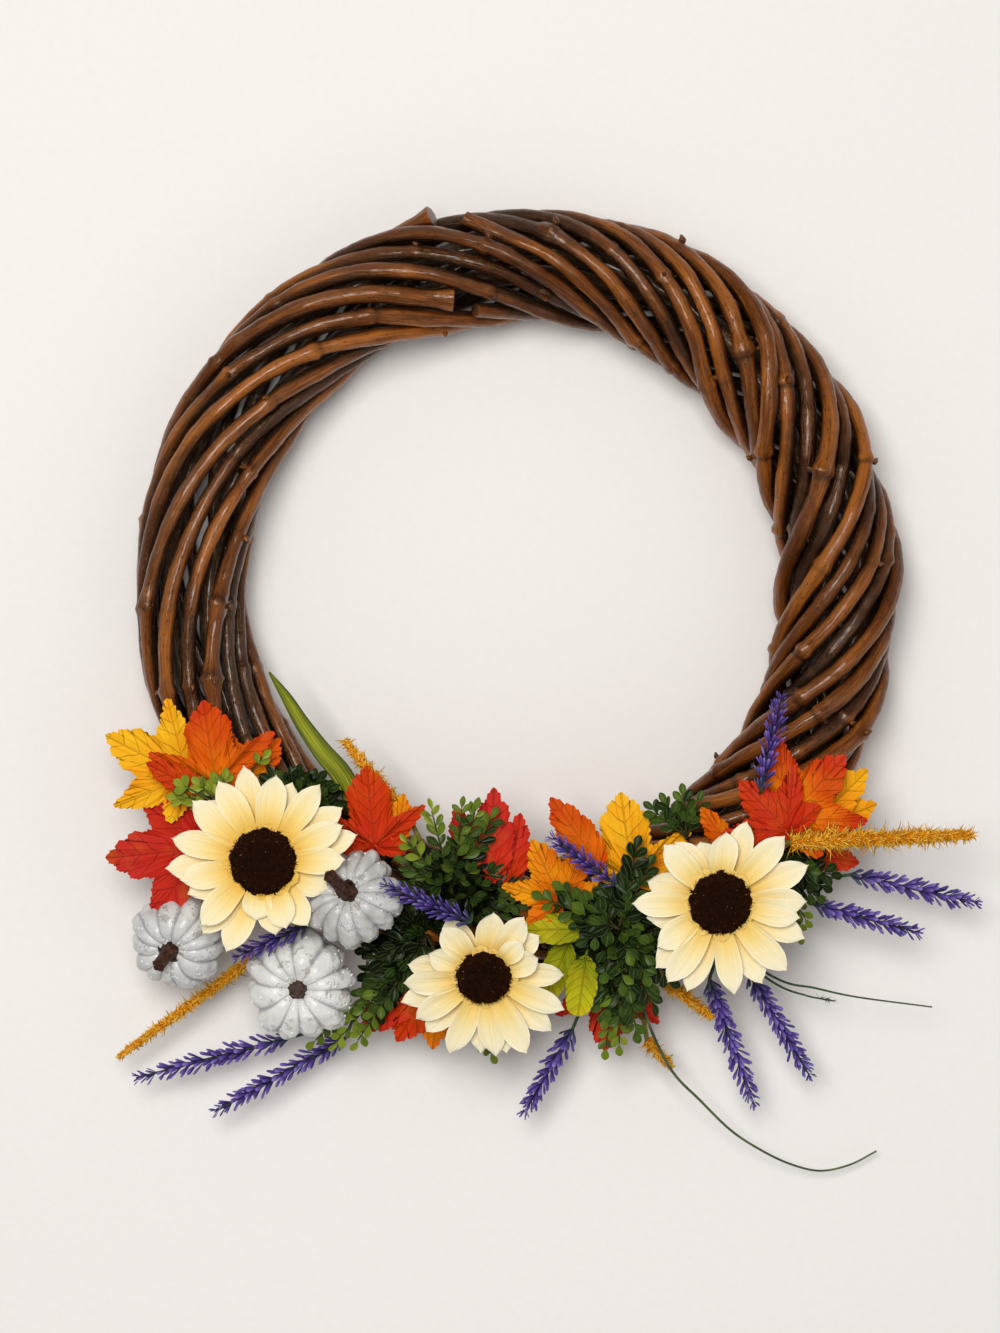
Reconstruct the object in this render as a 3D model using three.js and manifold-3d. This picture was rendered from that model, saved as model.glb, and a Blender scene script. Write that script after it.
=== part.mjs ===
// Vine wreath: a ring of wound grapevine with an autumn arrangement along its lower edge.
// It lies on its back. Millimetres, +Z up, +Y towards the top of the wreath.
// Places are given from the middle of the ring's hole, and the whole is centred at the end.

import * as THREE from "three";
import { mergeVertices } from "three/addons/utils/BufferGeometryUtils.js";
import Module from "manifold-3d";

const wasm = await Module();
wasm.setup();

// Where the middle of the hole lies when the whole is centred
const RING_CENTRE = [-14.3, 54.64, 0];

// Ring of vines
const RING_RADIUS = 169.5;
const RING_HEIGHT = 30;
const OUTER_VINES = 13;
const OUTER_REACH = 25.3;
const OUTER_TURNS = 3;
const OUTER_SIDES = 5;
const INNER_VINES = 2;
const INNER_REACH = 11;
const INNER_TURNS = 1;
const INNER_SIDES = 4;
const INNER_VINE_RADIUS = 6;
const THINNEST_VINE = 4.3;
const THICKEST_VINE = 5.6;
const VINE_STEPS = 33;
const TWIST_SWING = 0.5;
const FASTEST_TWIST = THREE.MathUtils.degToRad(15);
const FIRST_PHASE = THREE.MathUtils.degToRad(163.5);
const BOTTOM_STEP = Math.round(VINE_STEPS * 0.75);
const VINE_GAP = 0.5;
const JOINT_SWELL = 1.13;
const FLOOR_SINK = 1.4;
const SETTLING_ROUNDS = 160;
// The vines whose cut ends show at the upper left, and the step round the ring where each starts
const SEEN_ENDS = { 0: 11, 9: 11 };
// Knots on the front: place across and up, and how much the nearest vine swells there
const KNOTS = [
  [-167, -32, 1.5], [131, 117, 1.4], [35, 190, 1.3], [-144, -8, 1.35], [154, 68, 1.3], [-192, -16, 1.35],
];

// Fit and thickness shared by the pieces
const SEAT_GAP = 0.4;
const CLEARANCE = 0.35;
const BLADE = 0.8;
const PETAL = 0.8;
const WIRE_RADIUS = 0.8;

// Random draws that are the same on every run
function drawsFrom(seed) {
  let state = seed;
  return () => {
    state = (state * 16807) % 2147483647;
    return state / 2147483647;
  };
}

function vector(place) {
  return new THREE.Vector3(place[0], place[1], place[2]);
}

// Closed triangle mesh as a solid that can be cut and joined
function solidFrom(corners, faces) {
  return new wasm.Manifold(new wasm.Mesh({
    numProp: 3,
    vertProperties: new Float32Array(corners.flatMap((corner) => [corner.x, corner.y, corner.z])),
    triVerts: new Uint32Array(faces.flat()),
  }));
}

function solidOf(shape) {
  const bare = shape.clone();
  bare.deleteAttribute("normal");
  bare.deleteAttribute("uv");
  const merged = mergeVertices(bare, 1e-4);
  return new wasm.Manifold(new wasm.Mesh({
    numProp: 3,
    vertProperties: new Float32Array(merged.attributes.position.array),
    triVerts: new Uint32Array(merged.index.array),
  }));
}

function geometryOf(solid) {
  const mesh = solid.getMesh();
  const shape = new THREE.BufferGeometry();
  shape.setAttribute("position", new THREE.BufferAttribute(new Float32Array(mesh.vertProperties), 3));
  shape.setIndex(new THREE.BufferAttribute(new Uint32Array(mesh.triVerts), 1));
  shape.computeVertexNormals();
  return shape;
}

// The largest body of a solid, without loose scraps
function mainBody(solid) {
  const bodies = solid.decompose();
  return bodies.reduce((best, body) => (body.volume() > best.volume() ? body : best));
}

function fuse(solids) {
  return mainBody(wasm.Manifold.union(solids));
}

// The solid with its surface moved outwards, used to cut its neighbours clear of it
function swollen(solid, by) {
  const shape = geometryOf(solid);
  const place = shape.attributes.position;
  const normal = shape.attributes.normal;
  for (let i = 0; i < place.count; i += 1) {
    place.setXYZ(
      i,
      place.getX(i) + by * normal.getX(i),
      place.getY(i) + by * normal.getY(i),
      place.getZ(i) + by * normal.getZ(i),
    );
  }
  return new wasm.Manifold(new wasm.Mesh({
    numProp: 3,
    vertProperties: new Float32Array(place.array),
    triVerts: new Uint32Array(shape.index.array),
  }));
}

function boxesMeet(first, second) {
  return [0, 1, 2].every((axis) => (
    first.min[axis] < second.max[axis] && second.min[axis] < first.max[axis]
  ));
}

// Tube of any thickness along points, with flat ends. From the ring spikes.from on, each of its faces
// is raised into a spike that leans ahead.
function tube(points, radii, sides, spikes = null) {
  const corners = [];
  const faces = [];
  const headings = [];
  const last = points.length - 1;
  const first = points[1].clone().sub(points[0]).normalize();
  const upright = Math.abs(first.z) < 0.9 ? new THREE.Vector3(0, 0, 1) : new THREE.Vector3(1, 0, 0);
  let side = new THREE.Vector3().crossVectors(first, upright).normalize();
  points.forEach((point, k) => {
    const before = points[Math.max(k - 1, 0)];
    const after = points[Math.min(k + 1, last)];
    const along = after.clone().sub(before).normalize();
    side = side.addScaledVector(along, -side.dot(along)).normalize();
    const over = new THREE.Vector3().crossVectors(along, side);
    headings.push(along);
    for (let j = 0; j < sides; j += 1) {
      const angle = (2 * Math.PI * (j + 0.5)) / sides;
      corners.push(point.clone()
        .addScaledVector(side, radii[k] * Math.cos(angle))
        .addScaledVector(over, radii[k] * Math.sin(angle)));
    }
  });
  for (let k = 0; k < last; k += 1) {
    for (let j = 0; j < sides; j += 1) {
      const a = k * sides + j;
      const b = k * sides + ((j + 1) % sides);
      const [c, d] = [b + sides, a + sides];
      if (spikes && k >= spikes.from) {
        const apex = new THREE.Vector3();
        [a, b, c, d].forEach((i) => apex.addScaledVector(corners[i], 0.25));
        const middle = points[k].clone().lerp(points[k + 1], 0.5);
        const out = apex.clone().sub(middle).normalize();
        const small = 1 - 0.5 * ((k - spikes.from) / (last - spikes.from)) ** 3;
        const length = small * (0.85 + 0.3 * spikes.draw());
        apex.addScaledVector(out, spikes.out * length).addScaledVector(headings[k], spikes.ahead * length);
        corners.push(apex);
        const tip = -corners.length;
        faces.push([a, b, tip], [b, c, tip], [c, d, tip], [d, a, tip]);
      } else {
        faces.push([a, b, c], [a, c, d]);
      }
    }
  }
  const end = last * sides;
  for (let j = 1; j < sides - 1; j += 1) {
    faces.push([0, j + 1, j], [end, end + j, end + j + 1]);
  }
  return solidFrom(corners, faces.map((face) => face.map((i) => (i < 0 ? -i - 1 : i))));
}

// Thin sheet: both faces lie half the thickness from the given surface, triangle for triangle
function sheet(points, faces, thickness) {
  const normals = points.map(() => new THREE.Vector3());
  faces.forEach(([a, b, c]) => {
    const across = points[b].clone().sub(points[a]);
    const area = across.cross(points[c].clone().sub(points[a]));
    [a, b, c].forEach((corner) => normals[corner].add(area));
  });
  normals.forEach((normal) => normal.normalize().multiplyScalar(thickness / 2));
  const corners = [
    ...points.map((point, i) => point.clone().add(normals[i])),
    ...points.map((point, i) => point.clone().sub(normals[i])),
  ];
  const under = points.length;
  const edges = new Set(faces.flatMap(([a, b, c]) => [`${a} ${b}`, `${b} ${c}`, `${c} ${a}`]));
  const all = [];
  faces.forEach(([a, b, c]) => {
    all.push([a, b, c], [under + a, under + c, under + b]);
    [[a, b], [b, c], [c, a]].forEach(([from, to]) => {
      if (!edges.has(`${to} ${from}`)) {
        all.push([from, under + from, under + to], [from, under + to, to]);
      }
    });
  });
  return solidFrom(corners, all);
}

// Turns and moves a shape made along +X so that it starts at a place and heads along a direction
function aim(start, heading, roll = 0) {
  const ahead = heading.clone().normalize();
  const reference = Math.abs(ahead.z) < 0.95 ? new THREE.Vector3(0, 0, 1) : new THREE.Vector3(0, 1, 0);
  const left = new THREE.Vector3().crossVectors(reference, ahead).normalize();
  const over = new THREE.Vector3().crossVectors(ahead, left);
  const turn = new THREE.Matrix4().makeBasis(ahead, left, over);
  turn.multiply(new THREE.Matrix4().makeRotationX(roll));
  return turn.setPosition(start);
}

// Stands a shape made along +Z on a place, leaning along a direction
function leaning(at, lean) {
  const up = new THREE.Vector3(0, 0, 1);
  const turn = new THREE.Quaternion().setFromUnitVectors(up, vector(lean).normalize());
  return new THREE.Matrix4().makeRotationFromQuaternion(turn).setPosition(vector(at));
}

// Pieces of the wreath in the order they are placed; a later piece is cut clear of the earlier ones
const pieces = [];

function place(name, solid, colour, roughness, cutterShape = null) {
  let clear = solid;
  pieces.forEach((piece) => {
    if (boxesMeet(piece.box, clear.boundingBox())) {
      clear = clear.subtract(piece.cutter);
      if (clear.intersect(piece.solid).volume() > 0) {
        clear = clear.subtract(piece.solid);
      }
    }
  });
  clear = mainBody(clear);
  const cutter = swollen(cutterShape ?? clear, CLEARANCE);
  pieces.push({ name, solid: clear, cutter, box: cutter.boundingBox(), colour, roughness });
}

// Closest approach of two straight stretches: their fractions and the line between them
function approach(a, b, c, d) {
  const first = b.clone().sub(a);
  const second = d.clone().sub(c);
  const between = a.clone().sub(c);
  const aa = first.dot(first);
  const bb = second.dot(second);
  const ab = first.dot(second);
  const fa = first.dot(between);
  const fb = second.dot(between);
  const spread = aa * bb - ab * ab;
  const clamp = THREE.MathUtils.clamp;
  let s = spread > 1e-9 ? clamp((ab * fb - fa * bb) / spread, 0, 1) : 0.5;
  const t = clamp((ab * s + fb) / bb, 0, 1);
  s = clamp((ab * t - fa) / aa, 0, 1);
  const line = between.addScaledVector(first, s).addScaledVector(second, -t);
  return { s, t, line, gap: line.length() };
}

// Where a vine would run if nothing pushed it: round the bundle as it goes round the ring
function freeRun(vine, angle) {
  const turn = vine.phase - vine.turns * (angle + TWIST_SWING * Math.sin(angle - FASTEST_TWIST))
    + 0.09 * Math.sin(2 * angle + vine.sway);
  const reach = vine.reach + 1.6 * Math.sin(3 * angle + 2 * vine.sway) + Math.sin(7 * angle - vine.sway);
  const out = RING_RADIUS + reach * Math.cos(turn);
  return new THREE.Vector3(
    out * Math.cos(angle),
    out * Math.sin(angle),
    RING_HEIGHT + reach * Math.sin(turn),
  );
}

// Angle of a step round the ring: steps are shorter where the vines twist fastest
function stepAngle(step) {
  const even = (2 * Math.PI * step) / VINE_STEPS;
  return even - 0.5 * TWIST_SWING * Math.sin(even - FASTEST_TWIST);
}

function startVine(number, kind, draw) {
  const outer = kind === "outer";
  const hiddenStart = BOTTOM_STEP - 3 + Math.floor(6 * draw());
  const start = outer && number in SEEN_ENDS ? SEEN_ENDS[number] : hiddenStart;
  const thick = outer ? THREE.MathUtils.lerp(THINNEST_VINE, THICKEST_VINE, draw()) : INNER_VINE_RADIUS;
  const vine = {
    start,
    kind,
    phase: FIRST_PHASE + (2 * Math.PI * number) / (outer ? OUTER_VINES : INNER_VINES),
    turns: outer ? OUTER_TURNS : INNER_TURNS,
    reach: outer ? OUTER_REACH : INNER_REACH,
    sway: 2 * Math.PI * draw(),
  };
  vine.free = [];
  vine.radii = [];
  let nextJoint = 1 + Math.floor(3 * draw());
  for (let k = 0; k < VINE_STEPS; k += 1) {
    const taper = THREE.MathUtils.lerp(1.05, 0.9, k / VINE_STEPS);
    const joint = k === nextJoint;
    vine.free.push(freeRun(vine, stepAngle(start + k)));
    vine.radii.push(thick * taper * (joint ? JOINT_SWELL : 1));
    if (joint) {
      nextJoint += 2 + Math.floor(3 * draw());
    }
  }
  vine.points = vine.free.map((point) => point.clone());
  return vine;
}

// Pushes two vines apart where they press on each other
function pressApart(first, second) {
  for (let i = 0; i < VINE_STEPS - 1; i += 1) {
    for (let step = -2; step <= 2; step += 1) {
      const j = (first.start + i + step - second.start + 2 * VINE_STEPS) % VINE_STEPS;
      if (j < VINE_STEPS - 1) {
        const [a, b] = [first.points[i], first.points[i + 1]];
        const [c, d] = [second.points[j], second.points[j + 1]];
        const { s, t, line, gap } = approach(a, b, c, d);
        const need = THREE.MathUtils.lerp(first.radii[i], first.radii[i + 1], s)
          + THREE.MathUtils.lerp(second.radii[j], second.radii[j + 1], t) + VINE_GAP;
        if (gap < need) {
          const push = line.multiplyScalar((0.45 * (need - gap)) / gap);
          a.addScaledVector(push, 1 - s);
          b.addScaledVector(push, s);
          c.addScaledVector(push, t - 1);
          d.addScaledVector(push, -t);
        }
      }
    }
  }
}

// Draws each vine back to its own run and evens out its bends
function relax(vine, pull) {
  const shift = vine.points.map((point, k) => point.clone().sub(vine.free[k]));
  const last = shift.length - 1;
  vine.points.forEach((point, k) => {
    const around = shift[Math.max(k - 1, 0)].clone().add(shift[Math.min(k + 1, last)]).multiplyScalar(0.5);
    const even = shift[k].clone().lerp(around, 0.3).multiplyScalar(1 - pull);
    point.copy(vine.free[k]).add(even);
    point.z = Math.max(point.z, vine.radii[k] - FLOOR_SINK);
  });
}

function settle(vines, rounds, strongest) {
  for (let round = 0; round < rounds; round += 1) {
    const pull = strongest * (1 - round / rounds);
    vines.forEach((vine) => relax(vine, pull));
    for (let pass = 0; pass < (round < rounds - 20 ? 1 : 4); pass += 1) {
      vines.forEach((first, i) => vines.slice(i + 1).forEach((second) => pressApart(first, second)));
    }
  }
}

function swellKnots(vines) {
  KNOTS.forEach(([x, y, swell]) => {
    let best = null;
    vines.forEach((vine) => vine.points.forEach((point, k) => {
      const away = Math.hypot(point.x - x, point.y - y) - 0.4 * point.z;
      if (k > 0 && k < VINE_STEPS - 1 && (best === null || away < best.away)) {
        best = { vine, k, away };
      }
    }));
    best.vine.radii[best.k] *= swell;
  });
}

function windVines() {
  const draw = drawsFrom(4711);
  const vines = [];
  for (let i = 0; i < OUTER_VINES; i += 1) {
    vines.push(startVine(i, "outer", draw));
  }
  for (let i = 0; i < INNER_VINES; i += 1) {
    vines.push(startVine(i, "inner", draw));
  }
  settle(vines, SETTLING_ROUNDS, 0.12);
  swellKnots(vines);
  settle(vines, SETTLING_ROUNDS / 2, 0.04);
  return vines;
}

function vineSolid(vine) {
  const sides = vine.kind === "outer" ? OUTER_SIDES : INNER_SIDES;
  const last = vine.points.length - 1;
  const ends = vine.points.map((point) => point.clone());
  const reachOn = 0.3;
  ends[0].lerp(vine.points[1], -reachOn);
  ends[last].lerp(vine.points[last - 1], -reachOn);
  return tube(ends, vine.radii, sides).trimByPlane([0, 0, 1], 0);
}

const vines = windVines();
vines.forEach((vine, i) => {
  const number = String(i + 1).padStart(2, "0");
  const name = vine.kind === "outer" ? `vine_${number}` : `vine_inner_${i + 1 - OUTER_VINES}`;
  place(name, vineSolid(vine), 0x69421f, 0.45);
});

// Looks along a line for the first thing a stem of some radius would meet, and gives the free length
const caster = new THREE.Raycaster();
const vineMeshes = pieces.map((piece) => new THREE.Mesh(geometryOf(piece.solid)));

function freeLength(start, heading, radius) {
  const ahead = heading.clone().normalize();
  const reference = Math.abs(ahead.z) < 0.9 ? new THREE.Vector3(0, 0, 1) : new THREE.Vector3(1, 0, 0);
  const side = new THREE.Vector3().crossVectors(ahead, reference).normalize();
  const over = new THREE.Vector3().crossVectors(ahead, side);
  let shortest = Infinity;
  for (let j = 0; j < 9; j += 1) {
    const off = j === 8 ? 0 : radius;
    const from = start.clone()
      .addScaledVector(side, off * Math.cos(j * Math.PI / 4))
      .addScaledVector(over, off * Math.sin(j * Math.PI / 4));
    caster.set(from, ahead);
    const hit = caster.intersectObjects(vineMeshes, false)[0];
    shortest = Math.min(shortest, hit ? hit.distance : Infinity);
  }
  if (!Number.isFinite(shortest)) {
    throw new Error(`no vine lies ahead of a stem at ${start.toArray()}`);
  }
  return shortest - SEAT_GAP;
}

// Stem that ends on the vines: through its points, then straight on to the first vine
function seatedStem(points, radius, sides, heading = new THREE.Vector3(0, 0, -1)) {
  const last = points[points.length - 1];
  const foot = last.clone().addScaledVector(heading.clone().normalize(), freeLength(last, heading, radius));
  const all = [...points, foot];
  return tube(all, all.map(() => radius), sides);
}

// Pumpkins: ribbed bodies, dimpled where the stalk stands
const PUMPKIN_RIBS = 12;
const STALK_FOOT = 3.4;
const PUMPKINS = [
  {
    name: "left", at: [-174, -183, 47], radius: 25, tall: 19.5,
    lean: [-0.25, -0.3, 1], stalk: [-5, -7, 9], pick: [1, 0.72, 0],
  },
  { name: "upper", at: [-83, -159, 74], radius: 25, tall: 15.5, lean: [-0.17, 0.28, 1], stalk: [-9, 9, 8] },
  {
    name: "lower", at: [-111, -206, 47], radius: 28, tall: 21,
    lean: [-0.04, -0.06, 1], stalk: [0, 1, 9], pick: [0.5, 1, 0],
  },
];

function pumpkinBody(radius, tall) {
  const shape = new THREE.SphereGeometry(1, PUMPKIN_RIBS * 2, 7);
  shape.deleteAttribute("normal");
  shape.deleteAttribute("uv");
  shape.rotateX(Math.PI / 2);
  const merged = mergeVertices(shape, 1e-4);
  const spot = merged.attributes.position;
  for (let i = 0; i < spot.count; i += 1) {
    const [x, y, z] = [spot.getX(i), spot.getY(i), spot.getZ(i)];
    const out = Math.hypot(x, y);
    const rib = Math.cos(PUMPKIN_RIBS * Math.atan2(y, x));
    const wide = radius * (1 + (0.045 * rib - 0.045) * Math.min(1, 1.4 * out));
    const dimple = 1 - 0.34 * Math.exp(-((out / 0.32) ** 2));
    spot.setXYZ(i, wide * x, wide * y, tall * z * dimple);
  }
  return solidOf(merged);
}

function pumpkinStalk(bend) {
  const tip = vector(bend);
  const middle = new THREE.Vector3(tip.x * 0.35, tip.y * 0.35, tip.z * 0.6);
  return tube([new THREE.Vector3(), middle, tip], [STALK_FOOT, 2.2, 2.7], 6);
}

function placePumpkin({ name, at, radius, tall, lean, stalk, pick }) {
  const centre = vector(at);
  const stand = leaning(at, lean);
  const solids = [pumpkinBody(radius, tall).transform(stand.elements)];
  if (pick) {
    solids.push(seatedStem([centre, centre.clone().addScaledVector(vector(pick), 4)], 1.5, 6, vector(pick)));
  }
  place(`pumpkin_${name}_body`, fuse(solids), 0xc8ced4, 0.7);
  const dimple = vector([0, 0, tall * 0.66 + 0.42 * STALK_FOOT + SEAT_GAP]).applyMatrix4(stand);
  const stalkSolid = pumpkinStalk(stalk).translate(dimple.toArray());
  place(`pumpkin_${name}_stalk`, stalkSolid, 0x55371f, 0.7);
}

PUMPKINS.forEach(placePumpkin);

// Sunflowers: a hub with two layers of petals, a disc, and a calyx whose stem stands on the vines
const FLOWERS = [
  {
    name: "left", at: [-128, -140, 86], lean: [0, 0, 1],
    reach: 50, disc: 17.5, root: [-124, -134], seed: 11,
  },
  {
    name: "middle", at: [-16, -199, 78], lean: [0, -0.3, 1],
    reach: 46, disc: 14.5, root: [-15, -184], seed: 23,
  },
  {
    name: "right", at: [104, -161, 84], lean: [0.03, -0.12, 1],
    reach: 49, disc: 16.5, root: [102, -157], seed: 37,
  },
];
const PETALS_PER_LAYER = 9;
const HUB_HEIGHT = 2.4;
const DISC_SPOKES = 14;
const SEPALS = 6;
const GROOVE = 0.9;

// One layer of petals cut from a single sheet that is flat over the hub. Each petal has three points
// across at two stations, its middle line sunk in a groove, and a tip.
function petalLayer({ reach, hub, level, rise, phase }, draw) {
  const points = [new THREE.Vector3(0, 0, level)];
  const faces = [];
  const pitch = (2 * Math.PI) / PETALS_PER_LAYER;
  const at = (out, turn, height) => (
    new THREE.Vector3(out * Math.cos(turn), out * Math.sin(turn), level + height)
  );
  for (let i = 0; i < PETALS_PER_LAYER; i += 1) {
    const turn = (i + phase + 0.14 * (draw() - 0.5)) * pitch;
    const length = reach * (0.93 + 0.07 * draw());
    const half = 0.15 * reach * (0.94 + 0.08 * draw());
    const lift = rise * (0.85 + 0.3 * draw());
    points.push(at(hub, (i + phase - 0.4) * pitch, 0), at(hub, (i + phase + 0.4) * pitch, 0));
    [[0.56, 1, 0.8], [0.8, 0.8, 1]].forEach(([along, wide, up]) => {
      const out = along * length;
      const spread = Math.atan((wide * half) / out);
      points.push(at(out, turn - spread, up * lift), at(out, turn, up * lift - GROOVE));
      points.push(at(out, turn + spread, up * lift));
    });
    points.push(at(length, turn, 0.7 * lift));
    const r = 1 + 9 * i;
    const next = 1 + 9 * ((i + 1) % PETALS_PER_LAYER);
    faces.push([0, r, r + 1], [0, r + 1, next]);
    faces.push([r, r + 2, r + 3], [r, r + 3, r + 1], [r + 1, r + 3, r + 4]);
    faces.push([r + 2, r + 5, r + 6], [r + 2, r + 6, r + 3], [r + 3, r + 6, r + 7], [r + 3, r + 7, r + 4]);
    faces.push([r + 5, r + 8, r + 6], [r + 6, r + 8, r + 7]);
  }
  return sheet(points, faces, PETAL);
}

function petalRing({ reach, disc, seed }) {
  const draw = drawsFrom(seed);
  const [upper, lower] = [-PETAL / 2, PETAL / 2 - HUB_HEIGHT];
  const hub = new THREE.CylinderGeometry(disc * 0.6, disc * 0.6, upper - lower, 6);
  hub.rotateX(Math.PI / 2);
  hub.translate(0, 0, (upper + lower) / 2);
  const front = { reach: reach * 0.95, hub: disc * 1.08, level: upper, rise: 4.6, phase: 0 };
  const back = { reach, hub: disc * 0.8, level: lower, rise: 1, phase: 0.5 };
  return fuse([solidOf(hub), petalLayer(front, draw), petalLayer(back, draw)]);
}

// The dark disc: a low dome with rows of florets raised from it
function flowerDisc(radius) {
  const profile = [[0, SEAT_GAP], [radius * 0.86, SEAT_GAP], [radius, 2.6], [radius * 0.85, 5.4],
    [radius * 0.5, 6], [0, 4.6]];
  const shape = new THREE.LatheGeometry(profile.map(([out, up]) => new THREE.Vector2(out, up)), DISC_SPOKES);
  shape.rotateX(Math.PI / 2);
  const merged = mergeVertices(shape.deleteAttribute("normal").deleteAttribute("uv"), 1e-4);
  const spot = merged.attributes.position;
  for (let i = 0; i < spot.count; i += 1) {
    const [x, y, z] = [spot.getX(i), spot.getY(i), spot.getZ(i)];
    const around = Math.round((Math.atan2(y, x) * DISC_SPOKES) / (2 * Math.PI));
    const raised = z > 1 && Math.hypot(x, y) > 1 ? 0.5 * ((around + Math.round(z)) % 2 === 0 ? 1 : -1) : 0;
    spot.setXYZ(i, x, y, z + raised);
  }
  return solidOf(merged);
}

// Star of sepals under the petals, on a cup that narrows into the stem
function calyx({ disc, reach }, stand, root) {
  const low = -HUB_HEIGHT - SEAT_GAP - 0.6;
  const points = [new THREE.Vector3(0, 0, low)];
  for (let i = 0; i < SEPALS; i += 1) {
    [[0, 0.4, 0], [0.3, 0.52, -0.8], [0.6, 0.62, -2.4]].forEach(([share, out, drop]) => {
      const turn = (2 * Math.PI * (i + share)) / SEPALS;
      points.push(new THREE.Vector3(out * reach * Math.cos(turn), out * reach * Math.sin(turn), low + drop));
    });
  }
  const outline = points.length - 1;
  const faces = points.slice(1).map((point, i) => [0, 1 + i, 1 + ((i + 1) % outline)]);
  const star = sheet(points, faces, BLADE).transform(stand.elements);
  const line = [-HUB_HEIGHT - 1.2, -HUB_HEIGHT - 5, -HUB_HEIGHT - 9].map((z) => (
    new THREE.Vector3(0, 0, z).applyMatrix4(stand)
  ));
  const bend = new THREE.Vector3(root[0], root[1], line[2].z - 5);
  const foot = bend.clone();
  foot.z -= freeLength(bend, new THREE.Vector3(0, 0, -1), 2);
  const stem = tube([...line, bend, foot], [disc * 0.55, 3.4, 2.2, 2, 2], 6);
  return fuse([star, stem]);
}

function placeFlower(flower) {
  const { name, at, lean, root } = flower;
  const stand = leaning(at, lean);
  place(`sunflower_${name}_disc`, flowerDisc(flower.disc).transform(stand.elements), 0x2a160c, 0.95);
  place(`sunflower_${name}_petals`, petalRing(flower).transform(stand.elements), 0xf6e8bd, 0.75);
  place(`sunflower_${name}_calyx`, calyx(flower, stand, root), 0x4e6b2a, 0.7);
}

FLOWERS.forEach(placeFlower);

function bent(from, to, sag) {
  const middle = from.clone().lerp(to, 0.5);
  middle.z += sag;
  return new THREE.QuadraticBezierCurve3(from, middle, to);
}

// A spiky head on its stalk: from a foot or joint through bends to the base of the head, then its rows.
// The sleeve is a plain tube as wide as the spikes, for cutting its neighbours clear.
function spikyStem(stalk, curve, { sides, rows, core, stalkRadius, out, ahead }, draw) {
  const points = [...stalk, ...curve.getPoints(rows)];
  const share = (k) => (k - stalk.length) / rows;
  const radii = points.map((point, k) => (share(k) < 0 ? stalkRadius : core * (1 - 0.6 * share(k) ** 2)));
  const wide = points.map((point, k) => (share(k) < 0 ? stalkRadius : radii[k] + 1.3 * out));
  const past = curve.getPoint(1).addScaledVector(curve.getTangent(1), ahead);
  return {
    stem: tube(points, radii, sides, { from: stalk.length, out, ahead, draw }),
    sleeve: tube([...points, past], [...wide, 0.6 * out], 6),
  };
}

// A thin grass wire, one point of it a row
function wire(points, radius) {
  return tube(points, points.map(() => radius), 3);
}

// One or two spiky heads that share a stem seated on the vines, with any wires bound to it
function placeHeads({ name, heads, stalk, heading, seed, wires = [] }, style, colour) {
  const draw = drawsFrom(seed);
  const down = heading ? vector(heading).normalize() : new THREE.Vector3(0, 0, -1);
  const bends = stalk.map(vector);
  const last = bends[bends.length - 1];
  const foot = last.clone().addScaledVector(down, freeLength(last, down, style.stalkRadius));
  const stems = heads.map(([base, tip], i) => {
    const route = i === 0 ? [foot, ...bends.slice().reverse()] : [bends[0]];
    return spikyStem(route, bent(vector(base), vector(tip), style.arch), style, draw);
  });
  const bound = wires.map((points) => wire(points.map(vector), WIRE_RADIUS));
  const solid = fuse([...stems.map(({ stem }) => stem), ...bound]);
  place(name, solid, colour, 0.75, fuse([...stems.map(({ sleeve }) => sleeve), ...bound]));
}

// Lavender: slim heads with slanting florets
const LAVENDER_STYLE = { sides: 4, rows: 8, core: 2, stalkRadius: 1.1, out: 4, ahead: 4.5, arch: 2 };
const LAVENDER = [
  { name: "1", heads: [[[125, -104, 82], [135, -57, 80]]], stalk: [[121, -120, 82]] },
  { name: "2", heads: [[[51, -152, 81], [19, -128, 87]]], stalk: [[57, -157, 79]] },
  {
    name: "3", heads: [[[-23, -170, 95], [-66, -151, 96]]],
    stalk: [[-22, -163, 96], [-28, -148, 86]],
  },
  { name: "4", heads: [[[-107, -174, 59], [-143, -190, 64]]], stalk: [[-100, -166, 57]] },
  {
    name: "5",
    heads: [[[-119, -236, 22], [-198, -256, 28]], [[-89, -236, 22], [-157, -274, 28]]],
    stalk: [[-84, -224, 21], [-79, -205, 20]],
    heading: [0.2, 1, 0],
  },
  { name: "6", heads: [[[30, -230, 34], [5, -274, 28]]], stalk: [[40, -205, 32]], heading: [0.1, 1, 0] },
  {
    name: "7",
    heads: [[[101, -204, 40], [125, -270, 30]], [[122, -201, 42], [154, -255, 30]]],
    stalk: [[106, -186, 40], [100, -178, 39]],
    heading: [-0.3, 1, 0],
    wires: [
      [[103, -182, 39.5], [136, -203, 43], [156, -208, 41], [178, -213, 37], [218, -219, 28]],
      [[103, -182, 39.5], [134, -205, 40], [151, -212, 38], [165, -215, 35]],
    ],
  },
  {
    name: "8",
    heads: [[[174, -149, 44], [241, -164, 36]], [[155, -164, 46], [209, -179, 42]]],
    stalk: [[150, -152, 45], [144, -147, 44]],
    heading: [-1, 0.6, 0],
  },
];

LAVENDER.forEach(({ name, ...stem }, i) => (
  placeHeads({ ...stem, name: `lavender_${name}`, seed: 900 + i }, LAVENDER_STYLE, 0x4b3c96)
));

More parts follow.
